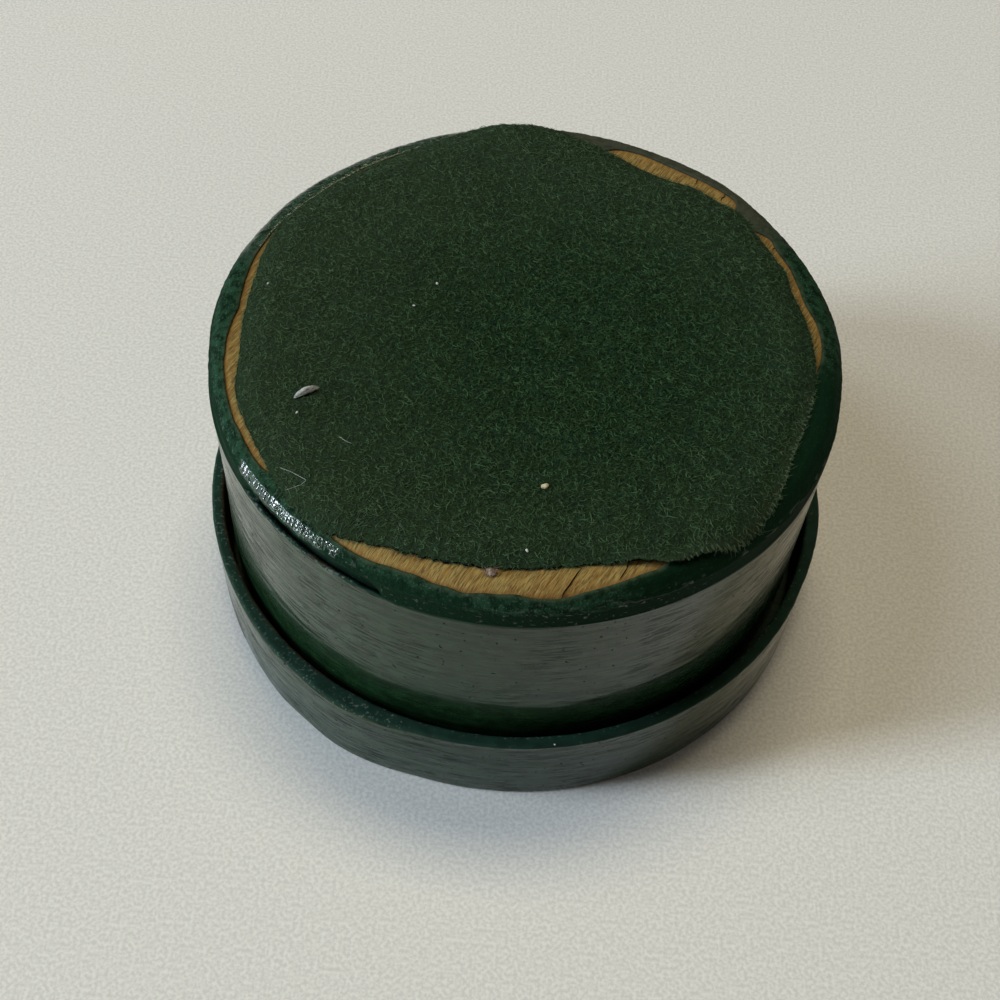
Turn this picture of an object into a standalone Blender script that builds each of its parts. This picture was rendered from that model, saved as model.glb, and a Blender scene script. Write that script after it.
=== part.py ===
"""Round bentwood trinket box, standing upside down on its lid, as it is seen from its felted base.

Two thin wooden hoops are each closed by a wooden disc. The wide, low hoop is the lid, which lies on
the table with its mouth up. The narrow, tall hoop is the box: its mouth stands inside the lid on the
lid's disc, and its base, with the felt pad glued to it, is on top.

Lengths are metres, +Z is up, and the origin is the centre of the lid's outer face, on the table.
"""
import math

import bpy
from mathutils import Vector

# The lid
LID_RADIUS = 0.0500
LID_HEIGHT = 0.0156
LID_BAND_THICKNESS = 0.0019
LID_DISC_THICKNESS = 0.0032
LID_EDGE_ROUND = 0.0005

# The box
BOX_WALL_THICKNESS = 0.0020
BOX_WALL_HEIGHT = 0.0409
BOX_EDGE_ROUND = 0.0004

# The base: worn down towards a shoulder, steep from there to its widest line, and turned in below that
BASE_THICKNESS = 0.0058
BASE_WEAR_REACH = 0.0032
BASE_SHOULDER_REACH = 0.00115
BASE_SHOULDER_DROP = 0.0005
BASE_SHOULDER_ROUND = 0.0008
BASE_WIDEST_DROP = 0.00255
BASE_UNDER_REACH = 0.0007
BASE_STEP_HEIGHT = 0.0015

# The felt pad: how thick it is, and how far inside the base's edge it is meant to stop
FELT_THICKNESS = 0.0011
FELT_SETBACK = 0.0043

# Clearances: the lid runs over the box, and glued or resting pieces keep a hair's breadth
LID_CLEARANCE = 0.0014
SEAT_GAP = 0.0003

# The cut of the felt: bearing in degrees from +X, and how far the scissors strayed outwards there
FELT_CUT = (
    (1, -0.0011), (9, -0.0018), (15, -0.0023), (21, -0.0017), (26, -0.0022), (33, -0.0016),
    (40, -0.0012), (48, -0.0021), (57, -0.0032), (62, -0.0034), (70, -0.0026), (77, -0.0017),
    (84, -0.0002), (90, 0.0014), (96, 0.0020), (103, 0.0011), (112, 0.0000), (122, -0.0009),
    (135, -0.0009), (147, -0.0003), (155, 0.0001), (164, -0.0004), (171, -0.0011), (184, -0.0013),
    (194, -0.0008), (204, 0.0008), (214, 0.0013), (225, 0.0023), (235, 0.0021), (246, 0.0010),
    (258, 0.0003), (270, -0.0002), (285, -0.0004), (293, 0.0004), (300, 0.0023), (311, 0.0035),
    (321, 0.0029), (330, 0.0011), (339, 0.0001), (349, -0.0002),
)

# Fineness of the round surfaces
TURN_STEPS = 96
ROUND_SEGMENTS = 3
OUTLINE_STEPS = 3
MERGE_DISTANCE = 0.00001
SMOOTH_BELOW = math.radians(35)

# Sizes that follow from the ones above
lid_inner_radius = LID_RADIUS - LID_BAND_THICKNESS
lid_disc_radius = lid_inner_radius - SEAT_GAP
box_radius = lid_inner_radius - LID_CLEARANCE
box_inner_radius = box_radius - BOX_WALL_THICKNESS
base_step_radius = box_inner_radius - SEAT_GAP
base_widest_height = BASE_THICKNESS - BASE_WIDEST_DROP
felt_radius = box_radius - FELT_SETBACK

# Heights: the box stands on the lid's disc, and the base and the felt are measured from its mouth
box_mouth_height = LID_DISC_THICKNESS + SEAT_GAP
base_height = BOX_WALL_HEIGHT + SEAT_GAP
felt_height = base_height + BASE_THICKNESS + SEAT_GAP


def clear_scene():
    """Remove every object that is in the file."""
    for old in list(bpy.data.objects):
        bpy.data.objects.remove(old, do_unlink=True)


def make_finish(name, colour, roughness):
    """One plain finish: its colour and how matt it is."""
    finish = bpy.data.materials.new(name)
    finish.use_nodes = True
    shader = finish.node_tree.nodes["Principled BSDF"]
    shader.inputs["Base Color"].default_value = (*colour, 1.0)
    shader.inputs["Roughness"].default_value = roughness
    shader.inputs["Metallic"].default_value = 0.0
    return finish


def soften(corners):
    """Round the corners of a profile, with its points still in order.

    Each corner is (radius, height, rounding), and stays one point where the rounding is 0.
    """
    points = []
    for index, (radius, height, rounding) in enumerate(corners):
        corner = Vector((radius, 0.0, height))
        if rounding == 0.0:
            points.append(corner)
            continue
        before = corners[index - 1]
        after = corners[(index + 1) % len(corners)]
        back = (Vector((before[0], 0.0, before[1])) - corner).normalized() * rounding
        on = (Vector((after[0], 0.0, after[1])) - corner).normalized() * rounding
        for step in range(ROUND_SEGMENTS + 1):
            angle = math.radians(90) * step / ROUND_SEGMENTS
            points.append(corner + back * (1 - math.sin(angle)) + on * (1 - math.cos(angle)))
    return points


def add_turned(name, corners, closed, finish, collection):
    """A turned piece, from its corners in order down the outer side from top to bottom.

    A closed profile is a hoop, and an open one starts and ends on the axis.
    """
    points = soften(corners)
    edges = [(index, index + 1) for index in range(len(points) - 1)]
    if closed:
        edges.append((len(points) - 1, 0))
    mesh = bpy.data.meshes.new(name)
    mesh.from_pydata(points, edges, [])
    mesh.materials.append(finish)
    piece = bpy.data.objects.new(name, mesh)
    collection.objects.link(piece)
    screw = piece.modifiers.new("Turned", "SCREW")
    screw.axis = "Z"
    screw.steps = TURN_STEPS
    screw.render_steps = TURN_STEPS
    screw.use_merge_vertices = True
    screw.merge_threshold = MERGE_DISTANCE
    screw.use_smooth_shade = True
    shade_by_angle(piece)
    return piece


def shade_by_angle(piece):
    """Turn the piece's modifiers into a mesh that is smooth except at its sharp edges."""
    bpy.context.view_layer.update()
    seen = piece.evaluated_get(bpy.context.evaluated_depsgraph_get())
    mesh = bpy.data.meshes.new_from_object(seen)
    mesh.shade_smooth()
    mesh.set_sharp_from_angle(angle=SMOOTH_BELOW)
    piece.modifiers.clear()
    piece.data = mesh


def add_hoop(name, outer_radius, thickness, height, rounding, finish, collection):
    """A bent band with its ends joined: a hoop with softened edges, standing on its own origin."""
    inner_radius = outer_radius - thickness
    corners = [
        (outer_radius, height, rounding),
        (outer_radius, 0.0, rounding),
        (inner_radius, 0.0, rounding),
        (inner_radius, height, rounding),
    ]
    return add_turned(name, corners, True, finish, collection)


def add_lid(finish, collection):
    """The lid: a disc let into the end of a low hoop, flush with the hoop's edge."""
    add_hoop("lid_band", LID_RADIUS, LID_BAND_THICKNESS, LID_HEIGHT, LID_EDGE_ROUND, finish, collection)
    corners = [
        (0.0, LID_DISC_THICKNESS, 0.0),
        (lid_disc_radius, LID_DISC_THICKNESS, LID_EDGE_ROUND),
        (lid_disc_radius, 0.0, LID_EDGE_ROUND),
        (0.0, 0.0, 0.0),
    ]
    add_turned("lid_disc", corners, False, finish, collection)


def add_box(paint, bare_wood, felt, collection):
    """The box: an empty at the middle of its mouth, and the pieces that lift off the lid with it."""
    box = bpy.data.objects.new("box", None)
    box.location.z = box_mouth_height
    collection.objects.link(box)
    band = add_hoop(
        "body_band", box_radius, BOX_WALL_THICKNESS, BOX_WALL_HEIGHT, BOX_EDGE_ROUND, paint, collection
    )
    base = add_base(bare_wood, collection)
    base.location.z = base_height
    pad = add_felt(felt, collection)
    pad.location.z = felt_height + FELT_THICKNESS / 2
    for piece in (band, base, pad):
        piece.parent = box


def add_base(finish, collection):
    """The base: a disc that covers the end of the box's hoop, with a step that fits inside the hoop."""
    corners = [
        (0.0, BASE_THICKNESS, 0.0),
        (box_radius - BASE_WEAR_REACH, BASE_THICKNESS, 0.0),
        (box_radius - BASE_SHOULDER_REACH, BASE_THICKNESS - BASE_SHOULDER_DROP, BASE_SHOULDER_ROUND),
        (box_radius, base_widest_height, BOX_EDGE_ROUND),
        (box_radius - BASE_UNDER_REACH, 0.0, 0.0),
        (base_step_radius, 0.0, 0.0),
        (base_step_radius, -BASE_STEP_HEIGHT, BOX_EDGE_ROUND),
        (0.0, -BASE_STEP_HEIGHT, 0.0),
    ]
    return add_turned("base_disc", corners, False, finish, collection)


def add_felt(finish, collection):
    """The felt pad: a disc cut by hand, which wanders in and out and nearly reaches the edge at the back."""
    outline = bpy.data.curves.new("felt_pad", "CURVE")
    outline.dimensions = "2D"
    outline.fill_mode = "BOTH"
    outline.extrude = FELT_THICKNESS / 2
    outline.resolution_u = OUTLINE_STEPS
    outline.render_resolution_u = OUTLINE_STEPS
    outline.materials.append(finish)
    spline = outline.splines.new("BEZIER")
    spline.use_cyclic_u = True
    spline.bezier_points.add(len(FELT_CUT) - 1)
    for point, (bearing, stray) in zip(spline.bezier_points, FELT_CUT):
        angle = math.radians(bearing)
        reach = felt_radius + stray
        point.co = (reach * math.cos(angle), reach * math.sin(angle), 0.0)
        point.handle_left_type = "AUTO"
        point.handle_right_type = "AUTO"
    pad = bpy.data.objects.new("felt_pad", outline)
    collection.objects.link(pad)
    return pad


def main():
    """Build the whole box in one collection."""
    clear_scene()
    collection = bpy.data.collections.new("trinket_box")
    bpy.context.scene.collection.children.link(collection)
    paint = make_finish("dark green paint", (0.010, 0.030, 0.022), 0.35)
    bare_wood = make_finish("bare wood of the base", (0.42, 0.25, 0.10), 0.55)
    felt = make_finish("green wool felt", (0.016, 0.045, 0.024), 0.95)
    add_lid(paint, collection)
    add_box(paint, bare_wood, felt, collection)


main()
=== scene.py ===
"""Round bentwood trinket box with a felted base, standing upside down on its lid.

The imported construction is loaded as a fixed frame. Around it this script makes the surfaces that the
eye meets: brushed green paint over bent wood, the bare wood that the paint leaves free, wool felt
with its loose hairs, and the lint that has settled on it. Lengths are metres, +Z is up, and bearings
are degrees round +Z from +X, so the viewer stands at 270.
"""

import itertools
import logging
import math
from dataclasses import dataclass
from enum import Enum

import bpy
import numpy as np
from mathutils import Matrix, Vector


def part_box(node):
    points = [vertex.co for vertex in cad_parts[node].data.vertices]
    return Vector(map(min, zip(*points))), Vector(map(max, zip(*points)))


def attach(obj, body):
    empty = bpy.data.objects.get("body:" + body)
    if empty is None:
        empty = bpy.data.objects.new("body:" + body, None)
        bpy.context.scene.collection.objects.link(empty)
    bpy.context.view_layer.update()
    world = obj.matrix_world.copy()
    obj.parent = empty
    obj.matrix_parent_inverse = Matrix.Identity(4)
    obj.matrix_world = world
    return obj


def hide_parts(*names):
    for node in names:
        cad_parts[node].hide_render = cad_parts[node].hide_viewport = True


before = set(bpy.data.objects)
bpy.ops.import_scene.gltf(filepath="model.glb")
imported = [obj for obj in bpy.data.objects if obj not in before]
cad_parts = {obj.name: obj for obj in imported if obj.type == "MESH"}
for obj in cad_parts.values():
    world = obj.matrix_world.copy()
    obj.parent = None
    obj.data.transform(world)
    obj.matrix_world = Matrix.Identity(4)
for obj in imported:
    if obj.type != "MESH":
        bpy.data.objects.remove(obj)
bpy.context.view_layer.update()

MM = 0.001
PER_METRE = 1000.0
FULL_TURN = 2.0 * math.pi
TINY = 1e-12
CORNER_STEPS = 24
EDGE_SPACING = 0.14 * MM
HAIR_TIP = 0.4
HASH_STEPS = (374761393, 668265263, 1440662683)
HASH_SEED = 912931
HASH_MIX = 1274126177

Array = np.ndarray
Piece = bpy.types.Object
Triple = tuple[float, float, float]
Colour = Triple
Outline = tuple[tuple[float, float], ...]
Stretch = Triple

log = logging.getLogger("trinket_box")


class Body(Enum):
    """The two things that part when the box is lifted off its lid."""

    LID = "lid"
    BOX = "box"


class Slot(Enum):
    """The record's names for the finishes."""

    LID_PAINT = "lid_paint"
    BOX_PAINT = "box_paint"
    BARE_WOOD = "base_wood"
    FELT = "felt"


def stacked(*parts: Array | float) -> Array:
    """Numbers side by side on a new last axis, each spread out to the shape of them all."""
    return np.stack(np.broadcast_arrays(*parts), axis=-1)


def around(radius: Array, bearing: Array, height: Array | float) -> Array:
    """Points round +Z, from their radius, bearing in radians and height."""
    return stacked(radius * np.cos(bearing), radius * np.sin(bearing), height)


def unit(ways: Array) -> Array:
    """Directions on the last axis, each brought to length 1."""
    return ways / np.maximum(np.linalg.norm(ways, axis=-1, keepdims=True), TINY)


def walked(line: Array) -> Array:
    """How far along a line of points each of them lies."""
    return np.concatenate([[0.0], np.cumsum(np.linalg.norm(np.diff(line, axis=0), axis=1))])


def drift(places: Array, seed: int, lap: int = 0) -> Array:
    """Smooth random values from -1 to 1 over a field of points, one cell of change per unit.

    Args:
        places: The points, with their three numbers on the last axis.
        seed: Which of the endless fields to read.
        lap: Whole cells after which the first direction meets itself, or 0 for never.

    Returns:
        One value for each point.
    """
    low = np.floor(places).astype(np.int64)
    part = places - low
    part = part * part * (3.0 - 2.0 * part)
    total = np.zeros(places.shape[:-1])
    for corner in itertools.product((0, 1), repeat=3):
        step = low + np.array(corner)
        if lap:
            step[..., 0] %= lap
        mixed = sum(step[..., axis] * size for axis, size in enumerate(HASH_STEPS)) + seed * HASH_SEED
        mixed = (mixed ^ (mixed >> 13)) * HASH_MIX
        mixed = mixed ^ (mixed >> 16)
        value = (mixed & 0xFFFF) / 32767.5 - 1.0
        total += value * np.prod(np.where(np.array(corner, dtype=bool), part, 1.0 - part), axis=-1)
    return total


def ease(values: Array, start: float, end: float) -> Array:
    """A smooth rise from 0 at start to 1 at end."""
    part = np.clip((values - start) / (end - start), 0.0, 1.0)
    return part * part * (3.0 - 2.0 * part)


def rise(lengths: Array, start: float, end: float) -> Array:
    """A smooth rise of 0 to 1 over lengths, from start to end in millimetres."""
    return ease(lengths, start * MM, end * MM)


def fall(lengths: Array, start: float, end: float) -> Array:
    """A smooth fall of 1 to 0 over lengths, from start to end in millimetres."""
    return 1.0 - rise(lengths, start, end)


def between(bearing: Array, start: float, end: float, soft: float) -> Array:
    """A mask that is 1 between two bearings and falls to 0 over soft degrees outside them.

    Args:
        bearing: Bearings in radians.
        start: Where the stretch begins, in degrees.
        end: Where it ends, counted onwards from start.
        soft: The width of the fade at each end, in degrees.

    Returns:
        The mask, one value for each bearing.
    """
    middle = math.radians((start + end) / 2.0)
    half = math.radians((end - start) / 2.0)
    away = np.abs((bearing - middle + math.pi) % FULL_TURN - math.pi)
    return 1.0 - ease(away, half, half + math.radians(soft))


def by_bearing(knots: Outline, bearing: Array) -> Array:
    """Read a closed outline at any bearing, smoothly between the bearings that it is known at.

    Args:
        knots: Pairs of a bearing in degrees, rising, and the value there.
        bearing: The bearings to read it at, in radians.

    Returns:
        One value for each bearing.
    """
    known = np.array(knots)
    turn = np.degrees(bearing) % 360.0
    angles = np.concatenate([known[-2:, 0] - 360.0, known[:, 0], known[:2, 0] + 360.0])
    values = np.concatenate([known[-2:, 1], known[:, 1], known[:2, 1]])
    index = np.clip(np.searchsorted(angles, turn, side="right") - 1, 1, len(angles) - 3)
    span = angles[index + 1] - angles[index]
    slope_in, slope_out = (
        (values[at + 1] - values[at - 1]) / (angles[at + 1] - angles[at - 1]) * span for at in (index, index + 1)
    )
    part = (turn - angles[index]) / span
    square, cube = part**2, part**3
    return (
        values[index] * (2 * cube - 3 * square + 1)
        + values[index + 1] * (3 * square - 2 * cube)
        + slope_in * (cube - 2 * square + part)
        + slope_out * (cube - square)
    )


def evenly(line: Array | list[tuple[float, float]], spacing: float) -> Array:
    """Points at even distances along a line of points.

    Args:
        line: The points.
        spacing: About how far apart the new ones lie.

    Returns:
        The new points, with the line's two ends kept.
    """
    line = np.array(line)
    along = walked(line)
    places = np.linspace(0.0, along[-1], max(2, round(along[-1] / spacing) + 1))
    return stacked(*(np.interp(places, along, numbers) for numbers in line.T))


def quarter(corner: tuple[float, float], back: tuple[float, float], on: tuple[float, float]) -> Array:
    """A quarter of an ellipse that rounds a corner of a profile.

    Args:
        corner: The square corner, as (radius, height).
        back: From the corner to where the round begins.
        on: From the corner to where the round ends.

    Returns:
        Points of the round, in order.
    """
    angles = np.radians(np.linspace(0.0, 90.0, CORNER_STEPS))[:, None]
    return np.array(corner) + np.array(back) * (1 - np.sin(angles)) + np.array(on) * (1 - np.cos(angles))


def corners_of(piece: Piece) -> Array:
    """The points of a piece, (points, 3), as its mesh holds them."""
    return np.array([tuple(vertex.co) for vertex in piece.data.vertices])


def inner_radius(node: str) -> float:
    """The bore of one of the frame's turned solids."""
    return float(np.hypot(*corners_of(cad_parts[node]).T[:2]).min())


def hoop_profile(inner: float, outer: float, low: float, high: float, soft: float, spacing: float) -> Array:
    """The closed profile of a hoop with softened edges.

    Args:
        inner: Its bore's radius.
        outer: Its outer radius.
        low: The height of its lower edge.
        high: The height of its upper edge.
        soft: The rounding of its edges.
        spacing: How far apart the points lie on its outer wall.

    Returns:
        Points in order: down the outer wall, under, up the bore and over.
    """
    outer_wall = evenly([(outer, high - soft), (outer, low + soft)], spacing)
    inner_wall = evenly([(inner, low + soft), (inner, high - soft)], spacing * 2.5)
    parts = [
        outer_wall,
        evenly(quarter((outer, low), (0, soft), (-soft, 0)), EDGE_SPACING)[1:],
        evenly(quarter((inner, low), (soft, 0), (0, soft)), EDGE_SPACING),
        inner_wall[1:],
        evenly(quarter((inner, high), (0, -soft), (soft, 0)), EDGE_SPACING)[1:],
        evenly(quarter((outer, high), (-soft, 0), (0, -soft)), EDGE_SPACING)[:-1],
    ]
    return np.concatenate(parts)


def rotate(x: Array, y: Array, bearing: float) -> tuple[Array, Array]:
    """The parts of points along and across a bearing given in degrees."""
    cosine, sine = math.cos(math.radians(bearing)), math.sin(math.radians(bearing))
    return x * cosine + y * sine, y * cosine - x * sine


def add_piece(name: str, points: Array, faces: list[list[int]]) -> Piece:
    """Make a smooth mesh and link it to the scene.

    Args:
        name: The piece's name.
        points: Its points, (points, 3).
        faces: The numbers of each face's points.

    Returns:
        The new piece.
    """
    mesh = bpy.data.meshes.new(name)
    mesh.from_pydata(points.tolist(), [], faces)
    mesh.shade_smooth()
    piece = bpy.data.objects.new(name, mesh)
    bpy.context.scene.collection.objects.link(piece)
    return piece


def face_out(piece: Piece) -> Piece:
    """Turn a piece's faces away from its middle, if more of its skin faces inwards.

    Args:
        piece: The piece, all of whose faces have the same turn.

    Returns:
        The same piece.
    """
    polygons = piece.data.polygons
    read = {name: np.empty(len(polygons) * size) for name, size in (("normal", 3), ("center", 3), ("area", 1))}
    for name, values in read.items():
        polygons.foreach_get(name, values)
    outwards = read["center"].reshape(-1, 3) - corners_of(piece).mean(axis=0)
    if (read["area"][:, None] * read["normal"].reshape(-1, 3) * outwards).sum() < 0.0:
        piece.data.flip_normals()
    return piece


def woven(name: str, points: Array, capped: bool = False) -> Piece:
    """A smooth mesh over rows of points that run round an axis, with its faces turned outwards.

    Args:
        name: The piece's name.
        points: The points, (rows, columns, 3).
        capped: Whether the first and the last row are each closed by one face, or else joined.

    Returns:
        The new piece.
    """
    rows, columns = points.shape[:2]
    numbers = np.arange(rows * columns).reshape(rows, columns)
    if not capped:
        numbers = np.vstack([numbers, numbers[:1]])
    numbers = np.hstack([numbers, numbers[:, :1]])
    faces = stacked(numbers[:-1, :-1], numbers[:-1, 1:], numbers[1:, 1:], numbers[1:, :-1]).reshape(-1, 4).tolist()
    if capped:
        faces.append(list(range(columns))[::-1])
        faces.append(list(range((rows - 1) * columns, rows * columns)))
    return face_out(add_piece(name, points.reshape(-1, 3), faces))


def tubes(name: str, paths: Array, radii: Array, sides: int = 3) -> Piece:
    """Many thin closed tubes in one piece.

    Args:
        name: The piece's name.
        paths: The tubes' middle lines, (tubes, points, 3).
        radii: Their radius at each point, (tubes, points).
        sides: How many sides a tube has.

    Returns:
        The new piece.
    """
    count, length = paths.shape[:2]
    way = unit(np.gradient(paths, axis=1))
    side = unit(np.cross(way, np.array([0.05, 0.03, 1.0])))
    over = np.cross(side, way)
    angles = np.arange(sides) / sides * FULL_TURN
    ring = side[:, :, None] * np.cos(angles)[:, None] + over[:, :, None] * np.sin(angles)[:, None]
    points = paths[:, :, None] + ring * radii[:, :, None, None]
    numbers = np.arange(count * length * sides).reshape(count, length, sides)
    ahead = np.roll(numbers, -1, axis=2)
    walls = stacked(numbers[:, :-1], ahead[:, :-1], ahead[:, 1:], numbers[:, 1:]).reshape(-1, 4)
    ends = [numbers[:, 0, ::-1], numbers[:, -1]]
    return add_piece(name, points.reshape(-1, 3), sum((part.tolist() for part in (walls, *ends)), []))


def tapered(radii: Array, points: int, tips: tuple[int, ...] = (0, -1)) -> Array:
    """The radii of tubes that are thin at their tips.

    Args:
        radii: Each tube's radius, in millimetres.
        points: How many points a tube has.
        tips: Which of them are thin.

    Returns:
        A radius for each tube and point, in metres.
    """
    thick = radii[:, None] * MM * np.ones(points)
    thick[:, tips] *= HAIR_TIP
    return thick


def lump(name: str, centre: Array, size: Triple, turn: float, seed: int) -> Piece:
    """A small uneven lump.

    Args:
        name: The piece's name.
        centre: Its middle.
        size: Its length, width and height in millimetres.
        turn: The bearing of its length, in degrees.
        seed: Which of the endless random shapes it has.

    Returns:
        The new piece.
    """
    down = np.linspace(0.14, math.pi - 0.14, 12)[:, None]
    bearing = np.linspace(0.0, FULL_TURN, 20, endpoint=False)[None, :]
    ball = around(np.sin(down), bearing, np.cos(down))
    uneven = 0.30 * drift(ball * 1.4 + 5.0, seed) + 0.10 * drift(ball * 3.5 + 9.0, seed)
    ball = ball * (1.0 + uneven[..., None]) * np.array(size) * MM / 2
    x, y = rotate(ball[..., 0], ball[..., 1], -turn)
    return woven(name, stacked(x, y, ball[..., 2]) + centre, capped=True)


def mark(piece: Piece, shape: tuple[int, ...], **marks: Array) -> None:
    """Write numbers on a piece's points, for its finish to read by name.

    Args:
        piece: The piece.
        shape: How its points are laid out, such as rows and columns.
        marks: Under each name, the numbers, which are spread out to that shape.
    """
    for name, values in marks.items():
        layer = piece.data.attributes.new(name, "FLOAT", "POINT")
        layer.data.foreach_set("value", np.broadcast_to(values, shape).astype(np.float32).ravel())


def settle(piece: Piece, body: Body, slot: Slot, finish: bpy.types.Material, *nodes: str) -> None:
    """Give a piece its finish and its body, and hide the solids that it stands for.

    Args:
        piece: The piece.
        body: The body that it moves with.
        slot: Not used.
        finish: Its material.
        nodes: The solids that it replaces.
    """
    piece.data.materials.append(finish)
    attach(piece, body.value)
    if nodes:
        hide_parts(*nodes)
    log.info("%s: %d faces on %s", piece.name, len(piece.data.polygons), body.value)


class Turning:
    """A turned surface: a profile in (radius, height), swept round +Z and then given relief."""

    def __init__(self, profile: Array, columns: int, closed: bool = True) -> None:
        """Work out the bearings, the way along the profile, and the outward direction at each row.

        Args:
            profile: The profile's points.
            columns: How many points go round.
            closed: Whether the profile ends where it begins.
        """
        self.bearing = np.linspace(0.0, FULL_TURN, columns, endpoint=False)[None, :]
        self.along = walked(profile)[:, None]
        if closed:
            way = np.roll(profile, -1, axis=0) - np.roll(profile, 1, axis=0)
        else:
            way = np.gradient(profile, axis=0)
        self.radius, self.height = profile[:, 0:1], profile[:, 1:2]
        self.up, down = np.split(unit(way), 2, axis=1)
        self.out = -down

    def points(self, relief: Array | float, inwards: Array | float = 0.0) -> Array:
        """The surface's points.

        Args:
            relief: How far each point is raised along the surface's outward direction.
            inwards: How far each point is then moved towards the axis.

        Returns:
            The points, (rows, columns, 3).
        """
        return around(self.radius + self.out * relief - inwards, self.bearing, self.height + self.up * relief)

    def grain(self, width: float, length: float, seed: int) -> Array:
        """Smooth random values over the surface that meet themselves after a turn.

        Args:
            width: How far the values stay alike round the turn, in millimetres.
            length: How far they stay alike along the profile.
            seed: Which field to read.

        Returns:
            Values from -1 to 1, (rows, columns).
        """
        lap = max(1, round(FULL_TURN * float(self.radius.max()) / (width * MM)))
        return drift(stacked(self.bearing / FULL_TURN * lap, self.along / (length * MM), 0.0), seed, lap)


class Signal:
    """A number or a colour in a sketch. A sum on it lays down the node that works the sum out."""

    def __init__(self, sketch: "Sketch", socket: bpy.types.NodeSocket) -> None:
        """Hold the socket that it comes out of."""
        self.sketch = sketch
        self.socket = socket

    def by(self, how: str, other: "Signal | float" = 0.0) -> "Signal":
        """This number and another in one of Blender's sums."""
        return self.sketch.node("Math", {0: self, 1: other}, operation=how)

    def __add__(self, other: "Signal | float") -> "Signal":
        """This and the other together."""
        return self.by("ADD", other)

    def __sub__(self, other: "Signal | float") -> "Signal":
        """This less the other."""
        return self.by("SUBTRACT", other)

    def __mul__(self, other: "Signal | float") -> "Signal":
        """This times the other."""
        return self.by("MULTIPLY", other)

    def __truediv__(self, other: "Signal | float") -> "Signal":
        """This over the other."""
        return self.by("DIVIDE", other)

    def over(self, other: "Signal") -> "Signal":
        """The larger of this and the other."""
        return self.by("MAXIMUM", other)

    def under(self, whole: float) -> "Signal":
        """A plain number divided by this."""
        return self.sketch.node("Math", {0: whole, 1: self}, operation="DIVIDE")

    def blend(self, low: "Signal | Colour", high: "Signal | Colour") -> "Signal":
        """A colour that goes from low to high as this goes from 0 to 1."""
        return self.sketch.node("Mix", {0: self, 6: low, 7: high}, out=2, data_type="RGBA")

    def spread(self, start: float, end: float, low: float = 0.0, high: float = 1.0) -> "Signal":
        """Map the stretch from start to end onto low to high, smoothly and without going past."""
        inputs = dict(enumerate((self, start, end, low, high)))
        return self.sketch.node("MapRange", inputs, interpolation_type="SMOOTHSTEP")


class Sketch:
    """A material's or a group's nodes, laid down one after another."""

    def __init__(self, tree: bpy.types.NodeTree, shared: "SharedEffects | None" = None) -> None:
        """Start from an empty tree.

        Args:
            tree: The tree.
            shared: The groups that it may place.
        """
        self.tree = tree
        self.shared = shared
        tree.nodes.clear()

    def lay(self, kind: str, inputs: dict[str | int, object], **properties: object) -> bpy.types.Node:
        """Lay one node down.

        Args:
            kind: Blender's name for it, without the ShaderNode in front.
            inputs: What each input gets: a signal, or else its own value.
            properties: The node's other settings.

        Returns:
            The node.
        """
        made = self.tree.nodes.new("ShaderNode" + kind)
        for key, value in properties.items():
            setattr(made, key, value)
        for where, term in inputs.items():
            socket = made.inputs[where]
            if isinstance(term, Signal):
                self.tree.links.new(term.socket, socket)
            else:
                socket.default_value = (*term, 1.0) if socket.type == "RGBA" else term
        return made

    def node(self, kind: str, inputs: dict[str | int, object], out: str | int = 0, **properties: object) -> Signal:
        """Lay one node down as lay() does, and follow one of its outputs."""
        return Signal(self, self.lay(kind, inputs, **properties).outputs[out])

    def place(self) -> Signal:
        """Where a point lies on the object, in metres."""
        return self.node("TexCoord", {}, out="Object")

    def noise(self, place: Signal, scale: Signal | float = 1.0, **inputs: Signal | float) -> Signal:
        """Smooth noise at a place, with the node's other inputs under their names in small letters."""
        named = {name.capitalize(): value for name, value in inputs.items()}
        return self.node("TexNoise", {"Vector": place, "Scale": scale, **named})

    def bump(self, height: Signal, strength: Signal | float, distance: float, **inputs: Signal) -> Signal:
        """The normal of a surface raised by height, as many millimetres as distance says."""
        return self.node("Bump", {"Height": height, "Strength": strength, "Distance": distance * MM, **inputs})

    def marked(self, name: str) -> Signal:
        """The numbers that mark() wrote on the piece under this name."""
        return self.node("Attribute", {}, out="Fac", attribute_name=name, attribute_type="GEOMETRY")

    def group(self, effect: str, **inputs: Signal | float) -> dict[str, Signal]:
        """Place a shared group, with these inputs, and follow each of its outputs by name."""
        made = self.lay("Group", inputs, node_tree=getattr(self.shared, effect))
        return {socket.name: Signal(self, socket) for socket in made.outputs}


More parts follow.
